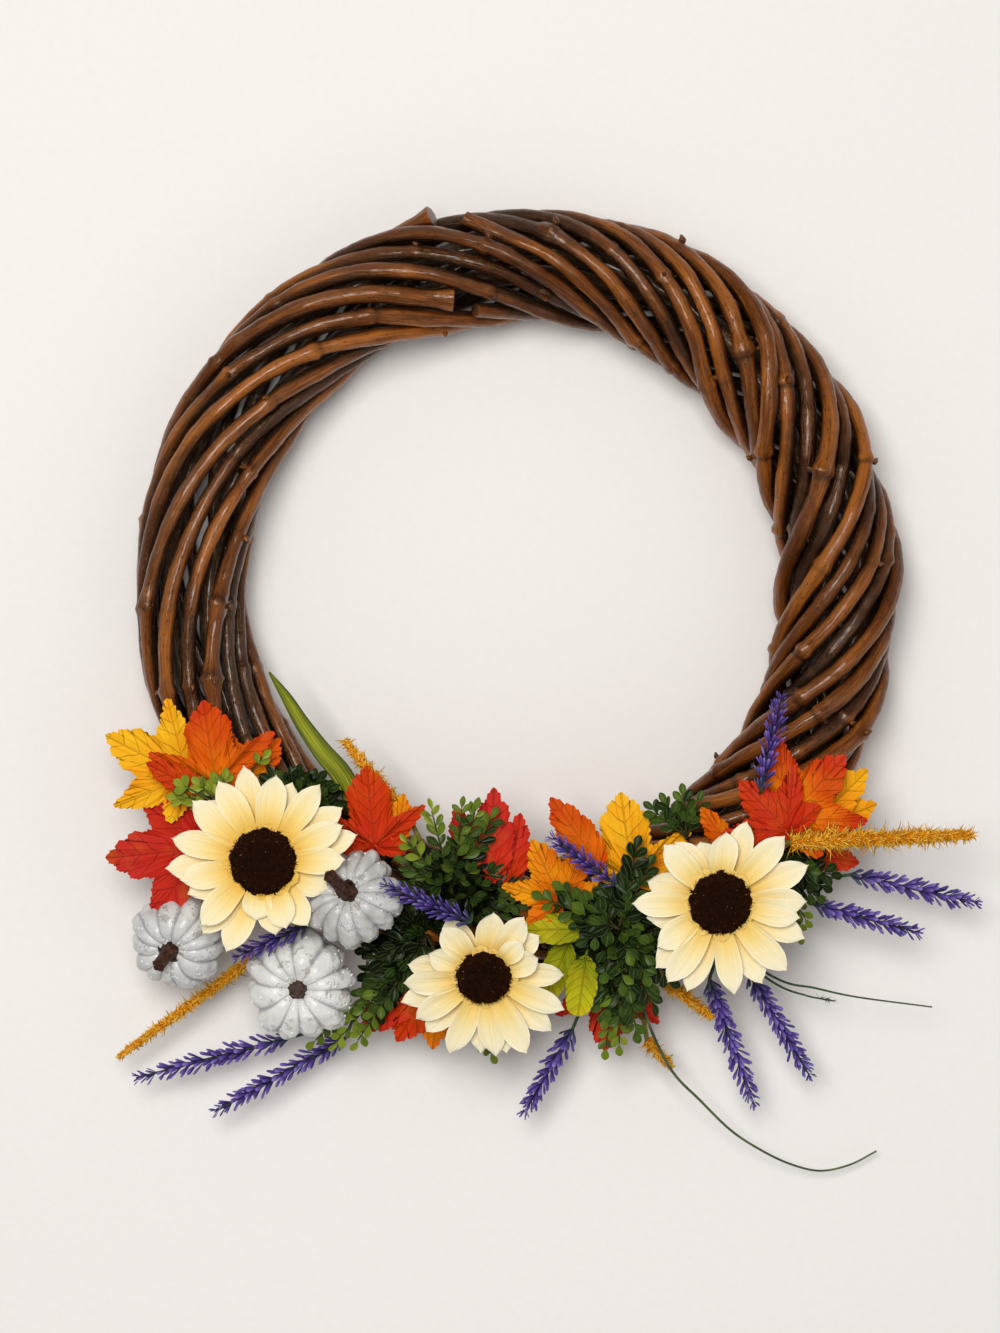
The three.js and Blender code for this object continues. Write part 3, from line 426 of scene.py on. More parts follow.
def placed(template, places, headings, ups, sizes):
    """Copies of a shape made along +X: at these places, along these headings, with these sizes."""
    ahead = unit(headings)
    left = unit(np.cross(ups, ahead))
    over = np.cross(ahead, left)
    axes = np.stack([ahead, left, over], axis=1)
    sizes = np.asarray(sizes, float).reshape(len(places), -1, 1)
    return np.einsum("ck,nkx->ncx", template, axes * sizes) + places[:, None, :]


def faces_of_copies(faces, corner_count, count):
    """Faces of copies of a shape that has so many corners."""
    offsets = np.arange(count)[:, None, None] * corner_count
    return [(group[None] + offsets).reshape(-1, group.shape[1]) for group in faces]


def pod(rings, sides):
    """A closed pod along +X from 0 to 1; rings are its widths at steps along it."""
    line = np.array([[along, 0, 0] for along, wide in rings])
    return tube(line, [wide for along, wide in rings], sides)


BUD, BUD_FACES = pod([(-0.2, 0.4), (0.1, 0.5), (0.4, 0.46), (0.7, 0.26), (0.9, 0.2), (1, 0.08)], 7)


def bark_of(reach, sides, offset):
    """Places in the bark: along the cane, and round it, so that its grain never crosses a seam."""
    turn = 2 * math.pi * np.arange(sides) / sides
    round_it = np.stack([np.cos(turn), np.sin(turn)], -1) * 5
    grain = np.concatenate([np.repeat(reach, sides)[:, None], np.tile(round_it, (len(reach), 1))], axis=1)
    grain = np.concatenate([grain, [[reach[0], 0, 0], [reach[-1], 0, 0]]])
    return grain / 1000 + [0, offset, offset]


def painted_light_of_core(places):
    """How far out of the bundle places lie: 0 in the gaps between the canes, painted dark; 1 at their backs,
    painted light.
    """
    out = np.hypot(places[:, 0], places[:, 1]) - RING_RADIUS
    return np.clip((np.hypot(out, places[:, 2] - RING_HEIGHT) - GAP_REACH) / BACK_DEPTH, 0, 1)


def swell_joints(line, reach, shares, swells, joints, sides, draw):
    """Joints and knots: the cane's line as they bend it, its widths, how far they show, and its buds."""
    turn = 2 * math.pi * np.arange(sides) / sides
    wide = np.ones((len(line), sides))
    marks = np.zeros(len(line))
    bud_places = []
    for k in range(1, len(swells) - 1):
        knot = swells[k] > 1.2
        if k not in joints and not knot:
            continue
        off = reach - np.interp(k, shares, reach)
        strong = 1 if knot else draw.uniform(0.35, 1)
        bump = (swells[k] - 1) * 1.1 if knot else 0.17 * strong
        spread = 5.5 if knot else 3.0
        wide *= 1 + (bump * np.exp(-(off / spread) ** 2))[:, None]
        ridges = 0.16 * np.exp(-((off - 1.2) / 1.2) ** 2) - 0.13 * np.exp(-((off + 2.2) / 1.3) ** 2)
        if knot:
            ridges += 0.12 * np.exp(-((off - 5) / 0.9) ** 2) - 0.1 * np.exp(-((off - 3) / 1.0) ** 2)
        wide *= 1 + strong * ridges[:, None]
        lump = 0.16 if knot else 0.1
        lobes = np.sin(2 * turn + 6 * draw.random()) + 0.5 * np.sin(5 * turn + 6 * draw.random())
        wide *= 1 + lump * np.exp(-(off / spread) ** 2)[:, None] * lobes[None, :]
        marks = np.maximum(marks, strong * np.exp(-((off + 1.8) / (3.2 if knot else 1.2)) ** 2))
        line = line + (np.exp(-np.abs(off) / 12))[:, None] * 0.45 * unit(draw.normal(size=3))
        bud_places.append(np.abs(off).argmin())
    return line, wide, marks, bud_places


def weather(wide, reach, draw):
    """Waves, furrows and scars along the bark."""
    turn = 2 * math.pi * np.arange(wide.shape[1]) / wide.shape[1]
    for wave, strong in CANE_WAVES:
        phases = 2 * math.pi * draw.random(2)
        wide *= 1 + strong * np.sin(reach / wave * 2 * math.pi + phases[0])[:, None]
        wide *= 1 + strong * np.sin(2 * turn[None, :] + (reach / wave)[:, None] + phases[1])
    wide *= 1 + 0.015 * np.sin(7 * turn[None, :] + 0.04 * reach[:, None] + 6 * draw.random())
    for _ in range(SCARS):
        off = (reach - draw.uniform(0, reach[-1])) / draw.uniform(2.5, 4.5)
        beside = np.sin((turn - 2 * math.pi * draw.random()) / 2) / 0.36
        wide *= 1 + draw.uniform(-0.08, 0.14) * np.exp(-(off ** 2)[:, None] - (beside ** 2)[None, :])
    return wide


def grow_buds(shape, line, corners, sides, bud_places, tone, draw):
    """Buds that stand out of the bark at the joints."""
    steps = np.array([k for k in bud_places if draw.random() < BUD_CHANCE], int)
    if not len(steps):
        return
    roots = corners[steps * sides + draw.integers(0, sides, len(steps))]
    ahead = unit(np.gradient(line, axis=0))[steps]
    headings = unit(roots - line[steps]) + ahead * draw.uniform(0.4, 1.4, (len(steps), 1))
    buds = placed(BUD, roots, headings, ahead, draw.uniform(2.6, 4.4, (len(steps), 1))).reshape(-1, 3)
    buds[:, 2] = np.maximum(buds[:, 2], FLOOR_GAP)
    shape.add(buds, faces_of_copies(BUD_FACES, len(BUD), len(steps)),
              grain=buds / 1000, tone=tone, joint=0.5, cut=0, clear=painted_light_of_core(buds))


def grow_cane(shape, node, number, seed, sides, fine):
    """A cane along its solid's own run, with its joints, bark, buds and cut ends."""
    draw = np.random.default_rng(CANE_SEED + seed)
    run, taper, swells, joints = settled_cane(node, number, cane_draws)
    last = len(run) - 1
    shares = np.linspace(0, last, int(last * fine) + 1)
    line = through(run, shares)
    start = unit(line[0] - line[1]) * END_REACH * np.linalg.norm(run[0] - run[1])
    stop = unit(line[-1] - line[-2]) * END_REACH * np.linalg.norm(run[-1] - run[-2])
    line = np.concatenate([line[:1] + start * np.linspace(1, 0, 6)[:-1, None], line,
                           line[-1:] + stop * np.linspace(0, 1, 6)[1:, None]])
    shares = np.concatenate([-END_STEPS[::-1], shares, last + END_STEPS])
    radii = np.interp(shares, range(last + 1), taper) * SLIMMER
    reach = np.concatenate([[0], np.cumsum(np.linalg.norm(np.diff(line, axis=0), axis=1))])
    line, wide, marks, bud_places = swell_joints(line, reach, shares, swells, joints, sides, draw)
    wide = weather(wide, reach, draw)
    wide *= 1 + (0.3 if node in FLARED else 0.06) * np.exp(-(reach / 5) ** 2)[:, None]
    radii = radii[:, None] * wide

    rim = np.array([[1.0], [0.96], [0.86]])
    line = np.concatenate([line[:1] + unit(start) * [[0.5], [0.4], [0.1]], line,
                           line[-1:] + unit(stop) * [[0.1], [0.4], [0.5]]])
    radii = np.concatenate([radii[:1] * rim[::-1], radii, radii[-1:] * rim])
    reach = np.concatenate([reach[:1] - [0.5, 0.4, 0.1], reach, reach[-1:] + [0.1, 0.4, 0.5]])
    marks = np.concatenate([np.zeros(len(rim)), marks, np.zeros(len(rim))])
    cut = np.zeros(len(line))
    cut[[0, -1]] = 1
    corners, faces = tube(line, radii, sides)
    corners[:, 2] = np.maximum(corners[:, 2], FLOOR_GAP)
    tone = draw.random()
    shape.add(corners, faces, grain=bark_of(reach, sides, seed * 0.37), tone=tone,
              clear=painted_light_of_core(corners), joint=np.append(np.repeat(marks, sides), [0, 0]),
              cut=np.append(np.repeat(cut, sides), [1, 1]))
    grow_buds(shape, line, corners, sides, [k + len(rim) for k in bud_places], tone, draw)


bark = Finish("vine_bark", Specular_IOR_Level=0.6, Specular_Tint=(1, 0.5, 0.24, 1), Coat_Roughness=0.14)
bark_grain = bark.stored_vector("grain")
long_streaks = bark.noise(bark.stretched(bark_grain, (40, 620, 620)), 1, 6, 0.62)
fine_streaks = bark.noise(bark.stretched(bark_grain, (160, 2600, 2600)), 1, 4, 0.6)
patches = bark.noise(bark.stretched(bark_grain, (22, 90, 90)), 1, 3)
wrinkles = bark.noise(bark.stretched(bark_grain, (420, 300, 300)), 1, 5, 0.6)
specks = bark.cells(bark.stretched(bark_grain, (210, 620, 620)), 1).between(0.26, 0.12)
# Painted light: the backs of the canes, away from the bundle's middle, are made lighter as if lit from above.
painted_light_on_backs = bark.stored("clear").between(0.6, 1)
bark_light = (painted_light_on_backs * 0.36 + long_streaks * 0.7 + fine_streaks * 0.35 + patches * 0.8
              + bark.stored("tone") * 0.24 - 0.75)
bark_colour = bark.ramp(
    bark_light, (0.1, shade(18, 6, 0)), (0.36, shade(52, 24, 5)), (0.58, shade(94, 47, 11)),
    (0.85, shade(156, 90, 30)))
bark_colour = bark.mix(specks * 0.55, bark_colour, shade(28, 15, 8))
bark_colour = bark.mix(bark.stored("joint") * 0.8, bark_colour, shade(28, 13, 5))
bark_colour = bark.mix(bark.stored("cut") * 0.5, bark_colour, shade(104, 72, 44))
# Painted shade: the bark turns near black towards the gaps between the canes, where shade falls.
bark_colour = bark.mix(bark.stored("clear").between(1.05, 0.15) * 0.94, bark_colour, shade(10, 4, 2))
bark_gloss = (fine_streaks * 0.6 + wrinkles * 0.4).between(0.41, 0.6) * 0.64
bark.feed(bark.shader.inputs["Coat Weight"], bark_gloss)
bark_height = long_streaks * 0.6 + fine_streaks * 0.4 + wrinkles * 0.35 - specks * 0.3
bark.surface(bark_colour, 0.13 + long_streaks * 0.18, bark_height, 0.0009)

cane_draws = drawn_numbers(CANE_NUMBERS)
for seed, node in enumerate(VINES + INNER_VINES):
    cane = Shape()
    if node in INNER_VINES:
        grow_cane(cane, node, INNER_VINES.index(node), seed, INNER_CANE_SIDES, INNER_CANE_STEPS)
    else:
        grow_cane(cane, node, seed, seed, CANE_SIDES, CANE_STEPS)
    cane.piece(node.replace("vine", "cane"), bark, "vine", node)


# Pumpkins
# Three small ribbed pumpkins of moulded foam, painted a chalky blue-grey over beige and distressed,
# each with a moulded brown stalk in its dimple; two stand on a short pick pushed in among the vines.

# Name, middle, radius, half height, lean, tip of the stalk, way of the pick, ribs and paleness.
PUMPKINS = [
    ("left", (-174, -183, 47), 25, 19.5, (-0.25, -0.3, 1), (-5, -7, 9), (1, 0.72, 0), 13, 0.0),
    ("upper", (-83, -159, 74), 25, 15.5, (-0.17, 0.28, 1), (-9, 9, 8), None, 14, -0.1),
    ("lower", (-111, -206, 47), 28, 21, (-0.04, -0.06, 1), (0, 1, 9), (0.5, 1, 0), 12, 0.24),
]
PICK_RADIUS = 1.5
STALK_FOOT = 3.4
STALK_LIFT = 0.42 * STALK_FOOT + 0.2
STALK_WIDTHS = [(0, 6.4), (0.1, 5.8), (0.2, 4.6), (0.5, 3.1), (0.85, 3.0), (0.95, 3.5), (1, 2.8)]
STALK_STEPS = 33
STALK_SIDES = 20
SKIN_ROWS = 58
COLUMNS_IN_RIB = 14
WARTS = 120
SEAT_DEPTH = 0.8

# The surface of all vines together, for picks and stems to end on.
vine_corners = []
vine_faces = []
for node in VINES + INNER_VINES:
    offset = len(vine_corners)
    vine_corners.extend(Vector(corner) for corner in corners_of(node))
    vine_faces.extend([offset + i for i in face.vertices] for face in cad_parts[node].data.polygons)
vine_surface = BVHTree.FromPolygons(vine_corners, vine_faces)


def seat(start, heading=(0, 0, -1)):
    """Where a stem from a place along a heading meets the vines, a little way into the bark."""
    hit = vine_surface.ray_cast(Vector(start), Vector(heading).normalized())[0]
    return np.array(hit) + SEAT_DEPTH * unit(np.array(heading, float))


def scatter(shape, template, faces, places, headings, ups, sizes, each=None, corner=None):
    """Adds copies of a shape; each holds a value for every copy, and corner the values along the shape."""
    copies = placed(template, places, headings, ups, sizes)
    values = {name: np.repeat(np.broadcast_to(np.asarray(value, float), len(places)), len(template))
              for name, value in (each or {}).items()}
    values.update({name: np.tile(value, len(places)) for name, value in (corner or {}).items()})
    shape.add(copies, faces_of_copies(faces, len(template), len(places)), **values)


def leaning(lean):
    """The turn that stands a shape made along +Z along a leaning direction."""
    return np.array(Vector((0, 0, 1)).rotation_difference(Vector(lean).normalized()).to_matrix())


def grid_faces(rows, columns, closed=False):
    """Four-sided faces between rows of corners."""
    row = np.arange(rows - 1)[:, None] * columns
    first = np.arange(columns if closed else columns - 1)[None, :]
    second = (first + 1) % columns
    quads = np.stack([row + first, row + second, row + columns + second, row + columns + first], -1)
    return quads.reshape(-1, 4)


def pumpkin_skin(ribs, radius, tall, seed):
    """Corners of the ribbed skin from the foot to the dimple, and how deep in a groove each lies."""
    draw = np.random.default_rng(seed)
    turn = np.linspace(0, 2 * math.pi, ribs * COLUMNS_IN_RIB, endpoint=False)
    rise = np.linspace(-math.pi / 2, math.pi / 2, SKIN_ROWS)[:, None]
    warped = ribs * turn + 0.9 * np.sin(2 * turn + 6 * draw.random())
    warped = (warped + 0.8 * np.sin(3 * turn + 6 * draw.random()))[None, :]
    wander = 0.12 * np.sin(4 * rise + 6 * draw.random())
    groove = 1 - np.abs(np.sin(warped / 2 + wander))
    out = np.cos(rise)
    each = 1 + 0.05 * np.sin(warped * 0.37 + 2) * out
    wide = radius * (1.012 - 0.13 * groove ** 1.5 * np.minimum(1, 1.4 * out)) * each
    lumps = np.sin(5 * turn + 7 * rise) + np.sin(9 * turn - 11 * rise + 1) + np.sin(14 * turn + 15 * rise)
    wide = wide * (1 + 0.011 * lumps * out)
    dimple = 1 - 0.34 * np.exp(-(out / 0.32) ** 2) - 0.05 * groove * np.exp(-((out - 0.4) / 0.3) ** 2)
    corners = np.stack(np.broadcast_arrays(
        wide * out * np.cos(turn), wide * out * np.sin(turn), tall * np.sin(rise) * dimple), -1)
    return corners, groove


paint = Finish("pumpkin_paint", Coat_Weight=0.4, Coat_Roughness=0.12, Specular_IOR_Level=0.3)
paint_place = paint.place()
paint_groove = paint.stored("groove")
paint_cloud = paint.noise(paint_place, 60, 5)
paint_smear = paint.noise(paint_place, 190, 4)
chips = paint.noise(paint_place, 120, 6, 0.65).between(0.57, 0.66)
dot_patches = paint.noise(paint_place, 60, 2).between(0.45, 0.58)
dots = paint.cells(paint_place, 330).between(0.24, 0.14) * dot_patches
paint_colour = paint.ramp(
    paint_cloud * 0.6 + paint_smear * 0.4 + paint.stored("pale"), (0.26, shade(176, 174, 168)),
    (0.5, shade(206, 206, 204)), (0.7, shade(226, 225, 221)), (0.95, shade(244, 243, 239)))
# Painted shade: the paint turns a darker grey down in the grooves between the ribs.
paint_colour = paint.mix(paint_groove.between(0.6, 1) * 0.7, paint_colour, shade(126, 128, 132))
paint_colour = paint.mix(chips * 0.6, paint_colour, shade(190, 172, 148))
paint_colour = paint.mix(dots.larger(paint.stored("wart")) * 0.8, paint_colour, shade(240, 241, 241))
paint_height = paint_cloud * 0.3 + paint_smear * 0.5 + dots * 0.5 - chips * 0.3
paint.surface(paint_colour, 0.4 + paint_cloud * 0.3, paint_height, 0.0016)

stalk_skin = Finish("stalk_paint", Coat_Weight=0.06, Coat_Roughness=0.3, Specular_IOR_Level=0.15)
stalk_grain = stalk_skin.noise(stalk_skin.stretched(stalk_skin.place(), (500, 500, 160)), 1, 5)
stalk_colour = stalk_skin.ramp(
    stalk_grain, (0.3, shade(30, 16, 10)), (0.55, shade(64, 38, 26)), (0.8, shade(104, 70, 50)))
stalk_skin.surface(stalk_colour, 0.5, stalk_grain, 0.0008)

WART, WART_FACES = pod([(-0.3, 0.55), (0.1, 0.6), (0.3, 0.5), (0.45, 0.28), (0.5, 0.05)], 7)

for name, at, radius, tall, lean, bend, pick, ribs, pale in PUMPKINS:
    draw = np.random.default_rng(ribs)
    turned = leaning(lean)
    corners, groove = pumpkin_skin(ribs, radius, tall, ribs)
    rows, columns = groove.shape
    places = corners.reshape(-1, 3) @ turned.T + at
    body = Shape()
    body.add(places, [grid_faces(rows, columns, True)], groove=groove.ravel(), wart=0, pale=pale)
    normals = unit(corners / np.array([radius ** 2, radius ** 2, tall ** 2])).reshape(-1, 3) @ turned.T
    ridge = np.flatnonzero((groove.ravel() < 0.75) & (normals[:, 2] > -0.4))
    spots = draw.choice(ridge, WARTS, replace=False)
    sizes = draw.uniform(0.6, 1.5, (WARTS, 1))
    scatter(body, WART, WART_FACES, places[spots], normals[spots], np.roll(normals[spots], 1, 1), sizes,
            {"groove": 0, "wart": draw.random(WARTS) * 0.9, "pale": pale})
    if pick:
        stem = through([at, seat(at, pick)], np.linspace(0, 1, 6))
        body.add(*tube(stem, PICK_RADIUS, 10), groove=1, wart=0, pale=pale)
    body.piece(f"pumpkin_{name}_skin", paint, "pumpkin_skin", f"pumpkin_{name}_body")

    foot = np.array([0, 0, tall * 0.66 + STALK_LIFT]) @ turned.T + at
    tip = np.array(bend, float)
    middle = tip * [0.35, 0.35, 0.6]
    line = through([[0, 0, -1.2], [0, 0, 0.4], middle, tip * 0.9, tip], np.linspace(0, 4, STALK_STEPS))
    share = np.linspace(0, 1, STALK_STEPS)[:, None]
    around = 2 * math.pi * np.arange(STALK_SIDES) / STALK_SIDES
    ridges = 1 + 0.12 * np.cos(5 * around[None, :] + 1.6 * share)
    corners, faces = tube(line, np.interp(share, *zip(*STALK_WIDTHS)) * ridges, STALK_SIDES)
    corners[-1] -= 0.7 * unit(tip)
    stalk = Shape()
    stalk.add(corners + foot, faces)
    stalk.piece(f"pumpkin_{name}_stem", stalk_skin, "pumpkin_stalk", f"pumpkin_{name}_stalk")


# Sunflowers
# Three artificial sunflowers: stamped cream fabric petals, golden at the base, in two layers on a
# moulded hub; a disc of dark brown pile; and a green calyx whose stem is glued on the vines.

# Name, middle, lean, reach of the petals, radius of the disc, where the stem goes down and seed; then the
# back, front and curled petals, each with its turn in degrees and its share of the reach.
FLOWERS = [
    ("left", (-128, -140, 86), (0, 0, 1), 50, 17.5, (-124, -134), 11,
     [(102, 1.0), (67, 0.86), (37, 0.98), (13, 1.0), (-22, 0.72), (-54, 0.8), (-82, 0.76), (-110, 1.0),
      (-131, 0.97), (-156, 0.84), (-174, 1.0), (134, 0.84)],
     [(116, 0.94), (83, 0.9), (53, 0.98), (24, 0.9), (1, 0.84), (-68, 0.72), (-98, 0.6), (-137, 0.9),
      (-165, 0.86), (163, 0.96), (142, 0.95)], []),
    ("middle", (-16, -199, 78), (0, -0.3, 1), 46, 14.5, (-15, -184), 23,
     [(84, 0.76), (41, 0.78), (1, 0.9), (-43, 1.0), (-73, 0.95), (-95, 0.92), (-137, 0.93), (-160, 0.97),
      (168, 0.86), (120, 0.78)],
     [(126, 0.76), (57, 0.86), (22, 0.66), (-21, 0.97), (-59, 1.0), (-84, 0.94), (-111, 0.98),
      (-150, 0.9), (-175, 0.9), (154, 0.68)], [(48, 0.62)]),
    ("right", (104, -161, 84), (0.03, -0.12, 1), 49, 16.5, (102, -157), 37,
     [(107, 0.68), (70, 0.9), (22, 1.0), (-22, 0.97), (-60, 0.97), (-108, 1.0), (-136, 0.96),
      (-165, 0.78), (161, 0.8), (125, 0.8)],
     [(136, 0.86), (89, 0.76), (48, 0.97), (1, 0.9), (-47, 1.0), (-83, 0.97), (-121, 1.0), (-147, 0.8),
      (180, 0.92), (-8, 0.84)], []),
]
PETAL_ROWS = 17
PETAL_COLUMNS = 11
PETAL_WIDTHS = [(0, 0.5), (0.15, 0.66), (0.35, 0.87), (0.55, 1), (0.7, 0.98), (0.82, 0.82), (0.92, 0.5),
                (0.97, 0.28), (1, 0.03)]
SMALL_PETALS = 11
HUB_HEIGHT = 2.4
SEPALS = 9
DOME_ROWS = 14
DOME_COLUMNS = 56
DOME_RISE = [(0, 3.4), (0.35, 4.2), (0.7, 4.6), (0.9, 3.6), (1, 0.6)]
PILE = 1700
PILE_FEET = [(0, 3.2), (0.35, 4.0), (0.7, 4.4), (0.9, 3.4), (1, 0.5)]
FIBRE_WIDTH = 0.42
GLINT_HAIRS = 16
GLINT_LIGHT = 1.6
STEM_STEPS = 33


def petal(turn, inner, outer, half, level, rise, curl, fold, twist):
    """One pointed petal: sunk along its middle, with raised edges, and its tip curling up or down."""
    t = np.linspace(0, 1, PETAL_ROWS)[:, None]
    across = np.linspace(-1, 1, PETAL_COLUMNS)[None, :]
    wide = half * np.interp(t, *zip(*PETAL_WIDTHS))
    out = inner + (outer - inner) * t - 0.02 * outer * across ** 2 * t
    lift = level + rise * np.sin(np.minimum(t * 1.9, 1) * math.pi / 2) + curl * t ** 3
    trough = fold * (1 - np.abs(across) ** 1.3) * np.sin(math.pi * np.minimum(t + 0.12, 1))
    pleats = 0.22 * np.cos(2.6 * math.pi * across + 3 * turn) + 0.08 * np.cos(6.1 * math.pi * across)
    pleats = pleats * np.sin(math.pi * t)
    rolled = 0.5 * half * 0.2 * across ** 2 * np.sin(5 * turn) * t ** 2
    lift = lift - trough + pleats + rolled + twist * across * t
    sway = 0.05 * outer * math.sin(7 * turn) * t ** 2
    side = across * wide + sway
    x = out * math.cos(turn) - side * math.sin(turn)
    y = out * math.sin(turn) + side * math.cos(turn)
    corners = np.stack(np.broadcast_arrays(x, y, lift), -1).reshape(-1, 3)
    shares = np.broadcast_to(t, (PETAL_ROWS, PETAL_COLUMNS)).ravel()
    return corners, np.broadcast_to(across, (PETAL_ROWS, PETAL_COLUMNS)).ravel(), shares


def hub_of(radius, low, high):
    line = np.array([[0, 0, low], [0, 0, low + 0.3], [0, 0, high - 0.3], [0, 0, high]])
    return tube(line, [radius * 0.96, radius, radius, radius * 0.96], 24)


fabric = Finish("petal_fabric", Roughness=0.75, Specular_IOR_Level=0.15)
petal_out = fabric.stored("out")
petal_side = fabric.stored("across")
petal_lot = fabric.stored("lot")
rib_place = fabric.node(
    "ShaderNodeCombineXYZ", None, {0: petal_side * 9, 1: petal_out * 1.2, 2: petal_lot * 40})
petal_ribs = fabric.noise(rib_place, 1, 4, 0.6)
weave = fabric.noise(fabric.place(), 1500, 2)
petal_colour = fabric.ramp(
    petal_out + petal_ribs * 0.2 + petal_side.size() * 0.08 - 0.14, (0.0, shade(230, 152, 40)),
    (0.2, shade(238, 186, 74)), (0.42, shade(245, 214, 130)), (0.66, shade(248, 232, 180)),
    (1.0, shade(248, 241, 212)))
petal_colour = fabric.mix(petal_ribs.between(0.6, 0.38) * 0.2, petal_colour, shade(238, 204, 116))
# Painted highlight: the petals' edges are lightened towards a pale cream.
painted_rim_highlight = petal_side.size().between(0.84, 1) * petal_out.between(0.3, 0.6) * 0.5
petal_colour = fabric.mix(painted_rim_highlight, petal_colour, shade(254, 249, 230))
fabric.surface(petal_colour, None, petal_ribs * 0.7 + weave * 0.12, 0.0006)

pile = Finish("disc_pile", Roughness=0.9, Specular_IOR_Level=0.06)
fibre_light = pile.stored("light") * pile.stored("tip")
pile_cloud = pile.noise(pile.place(), 420, 3)
pile_colour = pile.ramp(
    fibre_light, (0, shade(30, 13, 4)), (0.3, shade(70, 32, 9)), (0.7, shade(126, 66, 22)),
    (1, shade(226, 172, 110)))
pile_colour = pile.mix(pile_cloud.between(0.35, 0.65) * 0.6, pile_colour, shade(16, 6, 2))
pile.surface(pile_colour, None, pile_cloud, 0.0006)

green = Finish("moulded_green", Roughness=0.5, Coat_Weight=0.1)
green_cloud = green.noise(green.place(), 130, 4)
green_colour = green.ramp(green_cloud, (0.3, shade(52, 78, 30)), (0.7, shade(104, 136, 52)))
green.surface(green_colour, None, green_cloud, 0.0006)

FIBRE = np.array([[-0.05, 0.5, 0], [-0.05, -0.25, 0.43], [-0.05, -0.25, -0.43], [1, 0, 0]])
FIBRE_FACES = [np.array([[0, 1, 3], [1, 2, 3], [2, 0, 3]])]

